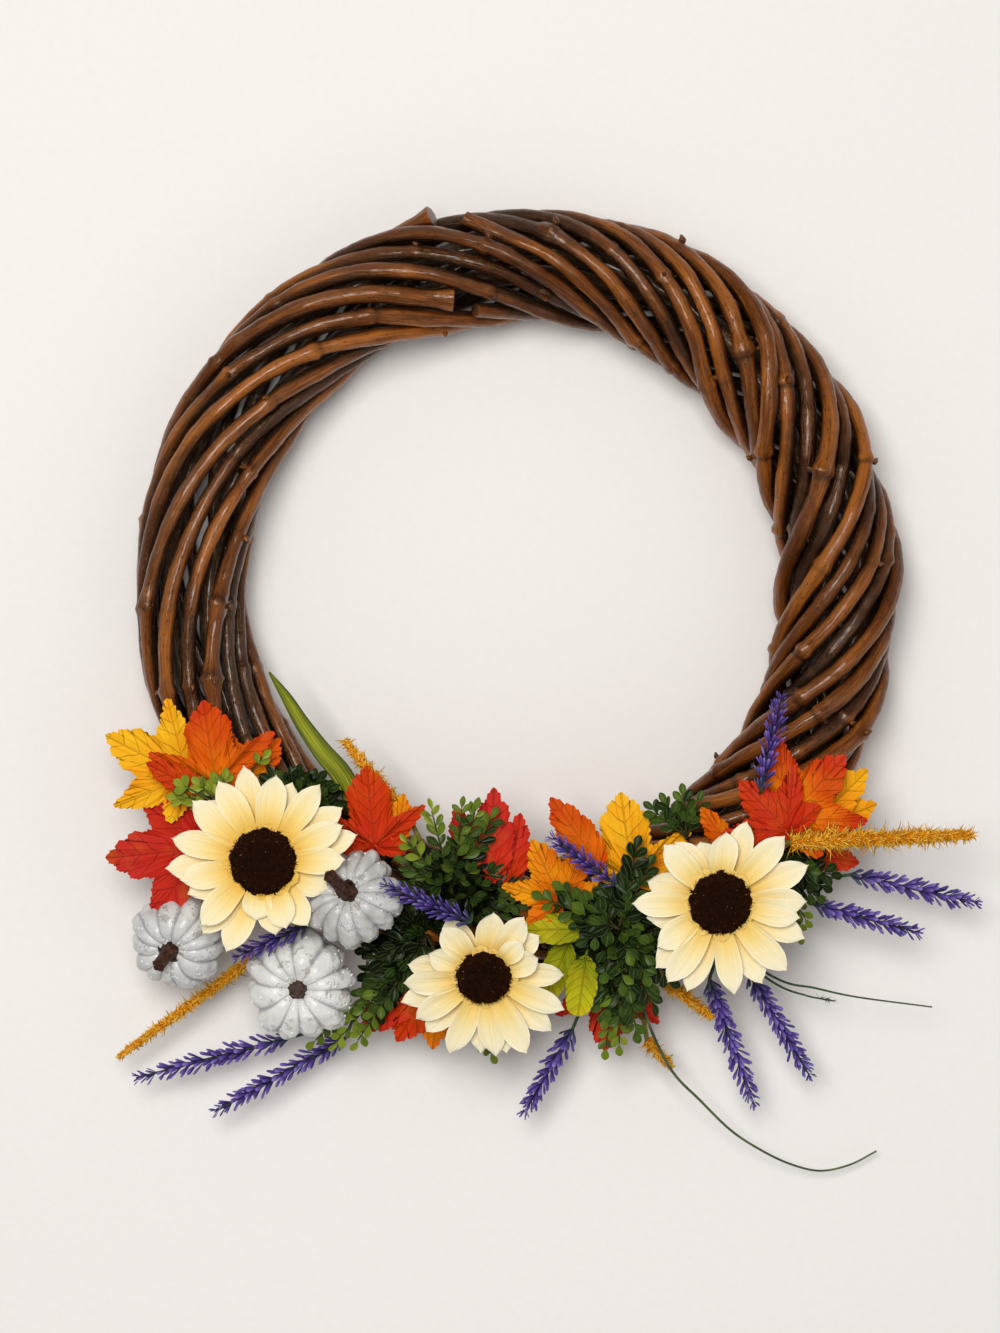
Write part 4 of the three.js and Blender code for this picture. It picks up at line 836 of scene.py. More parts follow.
for name, at, lean, reach, disc, root, seed, back, front, curled in FLOWERS:
    draw = np.random.default_rng(seed)
    turned = leaning(lean)
    head = Shape()

    def grow_petal(turn, inner, outer, half, level, rise, curl, fold=1.3, twist=0.0, pale=1.0):
        corners, across, shares = petal(turn, inner, outer, half, level, rise, curl, fold, twist)
        shares = shares * pale + (0 if name == "left" else 0.1)
        head.add(corners @ turned.T + at, [grid_faces(PETAL_ROWS, PETAL_COLUMNS)],
                 out=shares, across=across, lot=draw.random())

    for petals, level, rise in ((back, -2.0, 1.4), (front, -0.6, 4.0)):
        for turn, length in petals:
            short = 1 + 0.25 * (1 - length)
            half = reach * draw.uniform(0.134, 0.152) * short
            grow_petal(math.radians(turn), disc * 0.6, reach * length, half, level + draw.uniform(-0.3, 0.3),
                       rise * draw.uniform(0.8, 1.2), draw.uniform(-1.4, 1.2), draw.uniform(0.8, 1.9),
                       draw.uniform(-0.8, 0.8))
    for turn, length in curled:
        grow_petal(math.radians(turn), disc * 0.75, reach * length, reach * 0.13, 0.8, 5.0, -1.0, 1.2)
    for i in range(SMALL_PETALS):
        turn = 2 * math.pi * (i + 0.5 * draw.random()) / SMALL_PETALS
        grow_petal(turn, disc * 0.6, disc + draw.uniform(2.0, 4.5), reach * 0.09, 0.2, 2.2, -1.6, 0.8, 0, 0.3)
    corners, faces = hub_of(disc * 0.6, -HUB_HEIGHT, -0.1)
    head.add(corners @ turned.T + at, faces, out=0, across=0, lot=0)
    head.piece(f"sunflower_{name}_petal_layers", fabric, "petal", f"sunflower_{name}_petals")

    dome = Shape()
    out = np.linspace(0, 1, DOME_ROWS)[:, None]
    turn = np.linspace(0, 2 * math.pi, DOME_COLUMNS, endpoint=False)[None, :]
    up = np.interp(out, *zip(*DOME_RISE))
    ragged = 1 + 0.03 * np.sin(9 * turn) * out + 0.02 * np.sin(17 * turn + 1) * out
    corners = np.stack(np.broadcast_arrays(
        disc * out * ragged * np.cos(turn), disc * out * ragged * np.sin(turn), up), -1).reshape(-1, 3)
    dome.add(corners @ turned.T + at, [grid_faces(DOME_ROWS, DOME_COLUMNS, True)], light=0.1, tip=0.2)
    spread = np.sqrt(draw.random(PILE))
    around = 2 * math.pi * draw.random(PILE)
    feet = np.stack([disc * 0.98 * spread * np.cos(around), disc * 0.98 * spread * np.sin(around),
                     np.interp(spread, *zip(*PILE_FEET))], -1)
    stand = np.stack([np.cos(around) * (0.15 + spread ** 3), np.sin(around) * (0.15 + spread ** 3),
                      1.15 - 0.8 * spread ** 4], -1) + 0.28 * draw.normal(size=(PILE, 3))
    length = draw.uniform(1.0, 2.3, PILE) * np.interp(spread, [0, 0.3, 1], [0.6, 0.9, 1.1])
    sizes = np.stack([length, np.full(PILE, FIBRE_WIDTH), np.full(PILE, FIBRE_WIDTH)], -1)
    light = draw.random(PILE) ** 2 * np.interp(spread, [0, 0.5, 0.85, 1], [0.3, 0.45, 1.0, 1.1])
    # Painted glints: a few hairs get the palest colour, as if they caught the light.
    light[:GLINT_HAIRS] = GLINT_LIGHT
    scatter(dome, FIBRE, FIBRE_FACES, feet @ turned.T + at, stand @ turned.T, np.roll(stand, 1, 1), sizes,
            {"light": light}, {"tip": np.array([0.2, 0.2, 0.2, 1.0])})
    dome.piece(f"sunflower_{name}_pile", pile, "flower_disc", f"sunflower_{name}_disc")

    cup = Shape()
    low = -HUB_HEIGHT - 0.7
    for i in range(SEPALS):
        turn = 2 * math.pi * (i + 0.2 * draw.random()) / SEPALS
        length = 0.6 * reach * draw.uniform(0.85, 1)
        corners = petal(turn, 3, length, 0.085 * reach, low - 0.4, -2.2, -1.5, 0.6, 0)[0]
        cup.add(corners @ turned.T + at, [grid_faces(PETAL_ROWS, PETAL_COLUMNS)])
    stem = np.array([[0, 0, low], [0, 0, low - 2.6], [0, 0, low - 6.5]]) @ turned.T + at
    bend = np.array([root[0], root[1], stem[2][2] - 5])
    stem = np.concatenate([stem, [bend], [seat(bend)]])
    shares = np.linspace(0, 4, STEM_STEPS)
    wide = np.interp(shares, [0, 1, 2, 3, 4], [disc * 0.5, 3.6, 2.2, 2, 2])
    cup.add(*tube(through(stem, shares), wide, 14))
    cup.piece(f"sunflower_{name}_sepals", green, "calyx", f"sunflower_{name}_calyx")


# Lavender
# Moulded plastic stems of lavender: whorls of slim violet buds slanting towards the tip, each dark at
# its foot, and greener towards the stem. Heads that grow side by side share a stem seated on the vines.

# Name, heads from base to tip, bends of the stem on its way down, its heading into the vines, buds in a
# whorl, and their breadth.
LAVENDER = [
    ("1", [((125, -104, 82), (135, -57, 80))], [(124, -108, 66)], (0, 0, -1), 10, 0.66),
    ("2", [((51, -152, 81), (19, -128, 87))], [(57, -157, 79)], (0, 0, -1), 10, 0.66),
    ("3", [((-23, -170, 95), (-66, -151, 96))], [(-22, -167, 90), (-22, -166, 76)], (0, 0, -1), 10, 0.66),
    ("4", [((-107, -174, 59), (-143, -190, 64))], [(-100, -166, 57)], (0, 0, -1), 10, 0.66),
    ("5", [((-119, -236, 22), (-198, -256, 28)), ((-89, -236, 22), (-157, -274, 28))],
     [(-84, -224, 21), (-79, -205, 20)], (0.2, 1, 0), 6, 0.94),
    ("6", [((30, -230, 34), (5, -274, 28))], [(40, -205, 32)], (0.1, 1, 0), 7, 1),
    ("7", [((101, -204, 40), (125, -270, 30)), ((122, -201, 42), (154, -255, 30))],
     [(106, -186, 40), (100, -178, 39)], (-0.3, 1, 0), 7, 1),
    ("8", [((174, -149, 44), (241, -164, 36)), ((155, -164, 46), (209, -179, 42))],
     [(150, -152, 45), (144, -147, 44)], (-1, 0.6, 0), 7, 1),
]
# Two thin grass wires that grow from the stem of lavender 7; the second ends in a small tuft.
LOWER_WIRES = [
    [(103, -182, 39.5), (136, -203, 43), (156, -208, 41), (178, -213, 37), (218, -219, 28)],
    [(103, -182, 39.5), (134, -205, 40), (151, -212, 38), (165, -215, 35)],
]
LOWER_WIRE_STEPS = 40
TUFT_HAIRS = 40
TUFT_LENGTH = 7
LAVENDER_SEED = 900
HEAD_STEPS = 41
WHORL_PITCH = 4.1
BUD_LENGTH = 8.8
STALK_RADIUS = 0.9


def bent(start, stop, sag, count):
    """Points on a shallow arch from one place to another."""
    start, stop = np.array(start, float), np.array(stop, float)
    middle = (start + stop) / 2 + [0, 0, sag]
    t = np.linspace(0, 1, count)[:, None]
    return (1 - t) ** 2 * start + 2 * t * (1 - t) * middle + t ** 2 * stop


def frames_of(line):
    """Direction, side and other side at each point of a line."""
    ahead = unit(np.gradient(line, axis=0))
    side = unit(np.cross(ahead, [0, 0, 1]))
    return ahead, side, np.cross(side, ahead)


def round_line(side, over, turn):
    """Directions square to a line, each turned round it by its angle."""
    return side * np.cos(turn)[:, None] + over * np.sin(turn)[:, None]


def stem_run(head_line, bends, heading, first):
    """Points of a stem from its seat, or from the joint with its neighbour, to the start of its head."""
    if first:
        route = [seat(bends[-1], heading)] + [np.array(bend, float) for bend in reversed(bends)]
    else:
        route = [np.array(bends[0], float)]
    route = np.array(route + [head_line[0], head_line[2]])
    return through(route, np.linspace(0, len(route) - 1, 6 * len(route)))


violet = Finish("lavender_plastic", Roughness=0.6, Specular_IOR_Level=0.25)
bud_share = violet.stored("share")
bud_lot = violet.stored("lot")
bud_cloud = violet.noise(violet.place(), 500, 3)
bud_colour = violet.ramp(
    bud_share * 0.8 + bud_cloud * 0.3 + bud_lot * 0.35 - 0.25, (0.0, shade(34, 24, 62)),
    (0.3, shade(60, 42, 108)), (0.65, shade(88, 66, 148)), (1.0, shade(138, 116, 192)))
bud_colour = violet.mix(violet.stored("young"), bud_colour, violet.ramp(
    bud_cloud, (0.3, shade(36, 56, 40)), (0.7, shade(72, 98, 62))))
violet.surface(bud_colour, None, bud_cloud, 0.0004)

PETAL_BUD, PETAL_BUD_FACES = pod(
    [(0, 0.05), (0.16, 0.07), (0.4, 0.105), (0.66, 0.15), (0.84, 0.155), (0.95, 0.11), (1, 0.03)], 6)
PETAL_BUD = PETAL_BUD * [1, 1, 0.6]
BUD_SHARE = np.clip(PETAL_BUD[:, 0], 0, 1)

for index, (name, heads, bends, heading, buds, slim) in enumerate(LAVENDER):
    draw = np.random.default_rng(LAVENDER_SEED + index)
    sprig = Shape()
    for number, (base, tip) in enumerate(heads):
        line = bent(base, tip, 2, HEAD_STEPS)
        ahead, side, over = frames_of(line)
        core = np.interp(np.linspace(0, 1, HEAD_STEPS), [0, 0.7, 1], [1.0, 0.8, 0.4])
        sprig.add(*tube(line, core, 7), share=0.1, lot=0.1, young=0.4)
        stem = stem_run(line, bends, heading, number == 0)
        sprig.add(*tube(stem, STALK_RADIUS, 7), share=0, lot=0.2, young=1)
        whorls = int(np.linalg.norm(line[-1] - line[0]) / WHORL_PITCH)
        along = np.repeat(np.linspace(0.01, 0.985, whorls), buds)
        step = (along * (HEAD_STEPS - 1)).astype(int)
        turn = np.tile(np.arange(buds), whorls) * 2 * math.pi / buds
        turn += np.repeat(np.arange(whorls) * math.pi / buds, buds) + draw.normal(0, 0.18, len(turn))
        out = round_line(side[step], over[step], turn)
        slant = draw.uniform(1.0, 1.8, len(turn))[:, None]
        headings = out + ahead[step] * slant
        feet = line[step] + out * 0.6 + ahead[step] * draw.uniform(-0.6, 0.6, len(turn))[:, None]
        length = BUD_LENGTH * draw.uniform(0.8, 1.12, len(turn))
        length = length * np.interp(along, [0, 0.1, 0.75, 1], [0.8, 1, 0.92, 0.5])
        thick = slim * np.interp(along, [0, 0.8, 1], [1.05, 1, 0.8])
        sizes = np.stack([length, length * 0.9 * thick, length * 0.9 * thick], -1)
        young = np.clip(0.55 - 4.5 * along + draw.normal(0, 0.12, len(turn)), 0, 1)
        scatter(sprig, PETAL_BUD, PETAL_BUD_FACES, feet, headings, ahead[step], sizes,
                {"lot": draw.random(len(turn)), "young": young}, {"share": BUD_SHARE})
    if name == "7":
        for points in LOWER_WIRES:
            run = through(points, np.linspace(0, len(points) - 1, LOWER_WIRE_STEPS))
            sprig.add(*tube(run, np.linspace(0.75, 0.4, LOWER_WIRE_STEPS), 7), share=0, lot=0.1, young=1)
        back = np.outer(draw.random(TUFT_HAIRS) * TUFT_LENGTH, unit(np.array([14.0, -3, -3])))
        feet = np.array(LOWER_WIRES[1][-1], float) - back
        scatter(sprig, FIBRE, FIBRE_FACES, feet, draw.normal(size=(TUFT_HAIRS, 3)) * 0.5 + [1, -0.2, 0.1],
                draw.normal(size=(TUFT_HAIRS, 3)), np.tile([3.4, 0.5, 0.5], (TUFT_HAIRS, 1)),
                {"share": 0.2, "lot": 0.2, "young": 1})
    sprig.piece(f"lavender_{name}_buds", violet, "lavender", f"lavender_{name}")


# Foxtails
# Golden foxtail grass: a core packed with short dry bristles that lean towards the tip, with a few
# longer hairs standing out. Each head's stem is pushed in among the vines.

# Name, heads from base to tip, bends of the stem on its way in, its heading into the vines, and thickness.
FOXTAILS = [
    ("left", [((-136, -193, 27), (-208, -246, 24))], [(-112, -176, 27), (-106, -171, 27)], (1, 0.8, 0), 0.66),
    ("top", [((-54, -120, 60), (-88, -79, 60))], [(-48, -132, 60)], (0, 0, -1), 0.8),
    ("right", [((140, -130.5, 80.5), (234, -127, 70))], [(130, -131, 85)], (0, 0, -1), 1.02),
    ("bottom", [((73, -201, 40), (103, -224, 36)), ((69, -236, 31), (82, -251, 28))],
     [(64, -206, 36), (61, -199, 36)], (-0.2, 1, 0), 0.72),
]
FOXTAIL_SEED = 700
PLUME_STEPS = 61
PLUME_WIDTHS = [(0, 2.2), (0.1, 2.9), (0.7, 2.4), (0.97, 1.7), (1, 0.5)]
PLUME_STALK_RADIUS = 1.3
# Number in a millimetre, length, slant and width: first of the packed bristles, then of the longer hairs.
COATS = [(19, 3.6, 0.7, 0.5), (4, 9.0, 0.4, 0.24)]
BRISTLE = np.array([
    [-0.05, 0.5, 0], [-0.05, -0.25, 0.43], [-0.05, -0.25, -0.43],
    [0.55, 0.3, 0.12], [0.55, -0.2, 0.4], [0.55, -0.2, -0.2], [1, 0, 0.55]])
BRISTLE_FACES = [np.array([[0, 1, 4, 3], [1, 2, 5, 4], [2, 0, 3, 5]]),
                 np.array([[3, 4, 6], [4, 5, 6], [5, 3, 6]])]
BRISTLE_SHARE = np.array([0.1, 0.1, 0.1, 0.6, 0.6, 0.6, 1.0])

golden = Finish("foxtail_bristles", Roughness=0.6, Specular_IOR_Level=0.08)
straw = golden.noise(golden.place(), 300, 4)
golden_colour = golden.ramp(
    golden.stored("share") * 0.7 + golden.stored("lot") * 0.45 + straw * 0.3 - 0.2, (0.0, shade(150, 80, 4)),
    (0.3, shade(212, 132, 10)), (0.6, shade(248, 182, 34)), (0.92, shade(255, 226, 122)))
golden_colour = golden.mix(golden.stored("young"), golden_colour, shade(120, 112, 48))
golden.surface(golden_colour, None, straw, 0.0004)

for index, (name, heads, bends, heading, thick) in enumerate(FOXTAILS):
    draw = np.random.default_rng(FOXTAIL_SEED + index)
    plume = Shape()
    for number, (base, tip) in enumerate(heads):
        line = bent(base, tip, 1, PLUME_STEPS)
        ahead, side, over = frames_of(line)
        long = np.linalg.norm(line[-1] - line[0])
        core = thick * np.interp(np.linspace(0, 1, PLUME_STEPS), *zip(*PLUME_WIDTHS))
        plume.add(*tube(line, core, 10), share=0.1, lot=0.3, young=0)
        stem = stem_run(line, bends, heading, number == 0)
        plume.add(*tube(stem, PLUME_STALK_RADIUS, 7), share=0, lot=0.2, young=1)
        for density, length, slant, width in COATS:
            count = int(long * density)
            along = draw.random(count)
            step = (along * (PLUME_STEPS - 1)).astype(int)
            turn = 2 * math.pi * draw.random(count)
            out = round_line(side[step], over[step], turn)
            headings = out + ahead[step] * draw.normal(slant, 0.6, count)[:, None]
            headings = headings + 0.4 * draw.normal(size=(count, 3))
            beyond = (along * (PLUME_STEPS - 1) - step) * long / (PLUME_STEPS - 1)
            feet = line[step] + ahead[step] * beyond[:, None] + out * core[step, None] * 0.85
            size = thick * length * draw.uniform(0.5, 1.15, count)
            size = size * np.interp(along, [0, 0.7, 1], [1, 0.85, 0.6])
            sizes = np.stack([size, np.full(count, width), np.full(count, 1.2)], -1)
            scatter(plume, BRISTLE, BRISTLE_FACES, feet, headings, draw.normal(size=(count, 3)), sizes,
                    {"lot": draw.random(count), "young": 0}, {"share": BRISTLE_SHARE})
    plume.piece(f"foxtail_{name}_plume", golden, "foxtail", f"foxtail_{name}")


# Grass blade
# One broad moulded grass blade in striped olive green, folded along its middle, that follows the edge
# of the hole and is tucked in beside the left sunflower.

BLADE_LINE = [(-127, -44, 52), (-118, -57, 54), (-110, -70, 56), (-100, -84, 57), (-90, -96, 57),
              (-85, -106, 56), (-84, -116, 54)]
BLADE_HALF_WIDTHS = [0.6, 2.8, 4.0, 5.0, 5.7, 5.4, 2.8]
BLADE_FOOT = (-84, -115, 52)
BLADE_ROWS = 49
BLADE_COLUMNS = 13

striped = Finish("grass_plastic", Roughness=0.5, Specular_IOR_Level=0.25)
blade_side = striped.stored("across")
blade_where = striped.node(
    "ShaderNodeCombineXYZ", None, {0: blade_side * 13, 1: striped.stored("share") * 2})
blade_stripes = striped.noise(blade_where, 1, 2, 0.5)
blade_colour = striped.ramp(
    blade_stripes + 0.12 - blade_side.size() * 0.2, (0.34, shade(48, 60, 8)), (0.46, shade(98, 110, 14)),
    (0.56, shade(138, 146, 22)), (0.7, shade(182, 184, 50)))
striped.surface(striped.mix(blade_side.size().between(0.8, 1) * 0.6, blade_colour, shade(52, 72, 24)),
                None, blade_stripes + (blade_side * 5).part() * 0.3, 0.001)

shares = np.linspace(0, 6, BLADE_ROWS)
line = through(BLADE_LINE, shares)
side = frames_of(line)[1]
half = through([[half] for half in BLADE_HALF_WIDTHS], shares)[:, 0]
across = np.linspace(-1, 1, BLADE_COLUMNS)[None, :]
wave = 0.5 * np.sin(shares * 2.3)[:, None] * across
raised = 1.9 * (1 - across ** 2) - 0.5 * np.exp(-(across / 0.1) ** 2) + wave
corners = line[:, None] + side[:, None] * (across * half[:, None])[..., None]
corners[..., 2] += raised * np.minimum(1, half / 4)[:, None]
blade = Shape()
for drop in (0, 0.5):
    blade.add((corners - [0, 0, drop]).reshape(-1, 3), [grid_faces(BLADE_ROWS, BLADE_COLUMNS)],
              across=np.tile(across[0], BLADE_ROWS), share=np.repeat(shares, BLADE_COLUMNS) / 6)
foot = [(-84, -114, 55), BLADE_FOOT, seat(BLADE_FOOT)]
blade.add(*tube(through(foot, np.linspace(0, 2, 9)), 1.4, 8), across=0.9, share=0)
blade.piece("grass_blade_leaf", striped, "grass_blade", "grass_blade")


# Grass wires
# Thin green grass stems of plastic over wire, which arch out at the lower right. The long one is pushed
# in among the vines. The two short ones grow from a lavender stem and are made with it.

LONG_WIRE = [(63, -196, 45), (64, -206, 44), (70, -228, 42), (82, -252, 34), (97, -268, 28), (113, -284, 22),
             (129, -295, 17), (145, -303, 13), (161, -307, 10), (177, -304, 8), (191, -297, 7)]
LONG_WIRE_STEPS = 120

reed = Finish("grass_wire_plastic", Roughness=0.45)
reed_cloud = reed.noise(reed.place(), 90, 3)
reed_colour = reed.ramp(reed_cloud, (0.35, shade(44, 56, 32)), (0.65, shade(82, 98, 52)))
reed.surface(reed_colour, None, reed_cloud, 0.0004)

wires = Shape()
run = through(LONG_WIRE, np.linspace(0, len(LONG_WIRE) - 1, LONG_WIRE_STEPS))
wires.add(*tube(run, np.linspace(0.85, 0.5, LONG_WIRE_STEPS), 8))
foot = [LONG_WIRE[0], seat((63, -197, 44), (0, 1, -0.3))]
wires.add(*tube(through(foot, np.linspace(0, 1, 5)), 1.2, 8))
wires.piece("grass_wire_stem", reed, "grass_wire", "grass_wire")


# Maple leaves
# Printed fabric maple leaves in yellow, orange and red, with cut lobes and toothed edges, heat-pressed
# veins and moulded stalks that are drawn together and glued down to the vines.

# Half of a leaf's outline, from its tip to its stalk: degrees from the tip and share of the leaf's length.
LOBED = [(5, 0.88), (9, 0.87), (11, 0.77), (17, 0.74), (19, 0.63), (25, 0.52), (37, 0.66), (43, 0.76),
         (48, 0.9), (53, 0.76), (61, 0.6), (70, 0.38), (86, 0.5), (94, 0.54), (103, 0.46), (145, 0.14)]
BROAD = [(5, 0.9), (10, 0.88), (13, 0.8), (20, 0.76), (24, 0.64), (27, 0.56), (33, 0.44), (42, 0.44),
         (50, 0.64), (57, 0.86), (64, 0.64), (74, 0.38), (88, 0.44), (97, 0.48), (106, 0.4), (145, 0.14)]
NARROW = [(6, 0.84), (10, 0.82), (15, 0.64), (21, 0.6), (30, 0.42), (60, 0.2)]
STALK_TURN = (168, 0.06)
STALK_DROP = 1.8
RINGS = np.array([0, 0.1, 0.22, 0.36, 0.5, 0.63, 0.75, 0.86, 0.94, 1.0])
MAPLE_VEINS = [0, 48, 95]
LEAF_CURL = 0.05
EDGE_STEP = 0.8
TOOTH_PITCHES = (3.4, 3.8)
SPRAY_SEED = 500


def cut_edge(half, length, tooth, pitch):
    """Points of half a leaf's edge from its tip to its stalk, with teeth that point to the tip."""
    turns = np.radians([0] + [turn for turn, out in half] + [STALK_TURN[0]])
    outs = length * np.array([1] + [out for turn, out in half] + [STALK_TURN[1]])
    knots = np.stack([outs * np.cos(turns), outs * np.sin(turns)], -1)
    edge = []
    reach = 0.0
    for first, second in zip(knots, knots[1:]):
        span = np.linalg.norm(second - first)
        count = max(2, int(span / EDGE_STEP))
        away = np.array([first[1] - second[1], second[0] - first[0]]) / span
        if np.dot(away, (first + second) / 2) < 0:
            away = -away
        for k in range(count):
            t = k / count
            swell = 0.06 * span * math.sin(math.pi * t)
            saw = tooth * (1 - ((reach + t * span) / pitch) % 1) * min(1, (reach + t * span) / 3)
            edge.append(first + (second - first) * t + away * (swell + (saw if k else 0)))
        reach += span
    edge.append(knots[-1])
    return np.array(edge)


def grow_leaf(shape, base, tip, half, veins, ripe, tooth, wavy, draw):
    """One leaf: rings of corners from the foot of its blade out to its cut edge."""
    base, tip = np.array(base, float), np.array(tip, float)
    length = np.linalg.norm(tip - base)
    right, left = (cut_edge(half, length, tooth, pitch) for pitch in TOOTH_PITCHES)
    left = left * [1, -1]
    flat = np.concatenate([left[::-1], right[1:]])
    flat = flat * (1 + 0.04 * np.sin(np.arctan2(flat[:, 1], flat[:, 0]) * 2.3 + 6 * draw.random()))[:, None]
    spots = RINGS[:, None, None] * flat[None]
    turn = np.degrees(np.arctan2(flat[:, 1], flat[:, 0]))[None, :]
    edge_out = np.linalg.norm(flat, axis=1)[None, :] / length
    out = RINGS[:, None] * edge_out
    inside = np.clip((0.6 - edge_out) / 0.2, 0, 1) * (np.abs(turn) < 80)
    rim = length * (0.22 * (edge_out - edge_out ** 2) - LEAF_CURL * edge_out ** 3) - 0.05 * length * inside
    folds = 0.05 * length * np.sin(math.pi * RINGS)[:, None] * np.cos(np.radians(turn) * 7.5)
    lift = RINGS[:, None] * rim + folds
    ripple = np.sin(0.5 * np.arange(flat.shape[0]) * EDGE_STEP + 6 * draw.random())[None, :]
    lift = lift + wavy * RINGS[:, None] ** 3 * ripple
    gap = np.min([np.abs(np.abs(turn) - vein) for vein in veins], axis=0)
    radius = np.linalg.norm(spots, axis=-1)
    along = radius * np.cos(np.radians(gap))
    beside = radius * np.sin(np.radians(gap))
    ahead = unit(tip - base)
    side = unit(np.cross([0, 0, 1], ahead))
    over = np.cross(ahead, side)
    corners = base + spots[..., :1] * ahead + spots[..., 1:] * side + lift[..., None] * over
    rows, columns = radius.shape
    rim_share = np.broadcast_to(RINGS[:, None], (rows, columns))
    blotches = 0.05 * np.sin(0.25 * spots[..., 0] + 5) * np.sin(0.3 * spots[..., 1])
    colour = ripe[0] + (ripe[1] - ripe[0]) * out ** 1.2 + blotches
    shape.add(corners.reshape(-1, 3), [grid_faces(rows, columns)], along=along.ravel(), beside=beside.ravel(),
              ripe=colour.ravel(), rim=rim_share.ravel(), pitch=length * 0.17)


def grow_leg(shape, joint, radius, **values):
    """The stem of a spray, from its joint straight down to the vines."""
    line = through([np.array(joint) + [0, 0, 0.6], seat(joint)], np.linspace(0, 1, 5))
    shape.add(*tube(line, radius, 8), **values)


LEAF_STALK = dict(along=0, beside=0, rim=0, pitch=5)
# Node, slot, joint of the leaves; each leaf's foot, tip, outline, and ripeness at its foot and its tip.
SPRAYS = [
    ("maple_left_upper", "maple_orange", (-148, -116, 62), [
        ((-162, -104, 73), (-189, -90, 73), NARROW, (0.55, 0.75)),
        ((-153, -101, 69), (-160, -57, 71), BROAD, (0.3, 0.7)),
        ((-141, -103, 63), (-121, -78, 64), LOBED, (0.3, 0.5)),
        ((-168, -98, 61), (-210, -77, 57), LOBED, (0.16, 0.0))]),
    ("maple_left_lower", "maple_red", (-141, -129, 62), [
        ((-160, -134, 60), (-213, -140, 52), LOBED, (0.85, 1.0))]),
    ("maple_centre_left", "maple_orange", (-63, -137, 64), [
        ((-72, -133, 68), (-76, -93, 72), BROAD, (0.76, 0.6)),
        ((-61, -132, 66), (-57, -105, 68), NARROW, (0.45, 0.25))]),
    ("maple_centre_red", "maple_red", (-11, -154, 62), [
        ((-12, -149, 68), (-11, -104, 70), NARROW, (0.8, 0.98)),
        ((-18, -151, 64), (-31, -111, 67), NARROW, (0.85, 1.0)),
        ((-3, -151, 64), (3, -115, 65), NARROW, (0.7, 0.98))]),
    ("maple_centre_right", "maple_yellow", (45, -156, 62), [
        ((43, -142, 71), (18, -108, 73), NARROW, (0.35, 0.58)),
        ((24, -162, 66), (8, -129, 67), LOBED, (0.42, 0.24)),
        ((60, -150, 64), (54, -104, 66), BROAD, (0.2, 0.02))]),
    ("maple_right", "maple_orange", (129, -137, 70), [
        ((138, -119, 73.5), (170, -85, 75), LOBED, (0.2, 0.82)),
        ((110, -134, 69), (95, -113, 73), NARROW, (0.5, 0.35)),
        ((139, -125, 76.5), (113, -98, 77), LOBED, (0.74, 0.72)),
        ((152, -122, 66), (181, -94, 63), NARROW, (0.24, 0.12)),
        ((153, -124, 64), (188, -111, 58), NARROW, (0.3, 0.06)),
        ((150, -138, 54), (180, -143, 47), NARROW, (0.8, 0.7))]),
    ("maple_bottom_left", "maple_orange", (-35, -190, 50), [
        ((-40, -199, 48), (-61, -235, 42), LOBED, (0.3, 0.75)),
        ((-44, -200, 46), (-80, -231, 42), NARROW, (0.7, 0.9)),
        ((-38, -203, 44), (-43, -241, 39), NARROW, (0.2, 0.4))]),
    ("maple_bottom_right", "maple_red", (50, -190, 52), [
        ((50, -201, 40), (47, -241, 32), LOBED, (0.75, 0.92))]),
]


def leaf_finish(name, stops, vein_depth):
    made = Finish(name, Roughness=0.6, Specular_IOR_Level=0.08)
    along, beside = made.stored("along"), made.stored("beside")
    main_vein = beside.between(0.6, 0.1)
    wander = made.noise(made.place(), 60, 2)
    branch = ((along - beside * 1.05 + wander * 7) / made.stored("pitch")).part()
    branch_vein = (branch - 0.5).size().between(0.46, 0.492) * beside.between(15, 3)
    veins = main_vein.larger(branch_vein * 0.7)
    cloth = made.noise(made.place(), 420, 4)
    blotch = made.noise(made.place(), 45, 4)
    pillow = ((branch - 0.5).size() * -2 + 1) * 0.25
    colour = made.ramp(made.stored("ripe") + blotch * 0.5 - 0.25, *stops)
    colour = made.mix(veins * vein_depth, colour, made.mix(0.5, colour, shade(120, 36, 6)))
    colour = made.mix(blotch.between(0.52, 0.7) * 0.25, colour, made.mix(0.5, colour, shade(250, 170, 30)))
    made.surface(colour, None, pillow - veins * 0.7 + cloth * 0.2, 0.0009)
    return made


autumn = leaf_finish("maple_fabric", (
    (0.0, shade(244, 186, 32)), (0.2, shade(240, 158, 16)), (0.42, shade(220, 98, 6)),
    (0.62, shade(196, 56, 6)), (0.82, shade(200, 46, 26)), (1.0, shade(190, 40, 34))), 0.18)

for index, (name, slot, root, leaves) in enumerate(SPRAYS):
    draw = np.random.default_rng(SPRAY_SEED + index)
    spray = Shape()
    for i, (base, tip, half, ripe) in enumerate(leaves):
        grow_leaf(spray, base, tip, half, [0] if half is NARROW else MAPLE_VEINS, ripe, 1.2, 0.6, draw)
        joint = np.array(root) - [0, 0, STALK_DROP * i]
        inner = np.array(base) + 0.5 * unit(np.array(tip, float) - base)
        spray.add(*tube(bent(joint, inner, 0.6, 9), 0.75, 7), ripe=0.7, **LEAF_STALK)
    grow_leg(spray, root, 1.5, ripe=0.7, **LEAF_STALK)
    spray.piece(f"{name}_leaves", autumn, slot, name)


# Waved leaves
# Three yellow-green fabric leaves with waved edges, printed and pressed like the maple leaves. Their
# moulded stalks join in one stem that is glued to the vines under the middle of the arrangement.

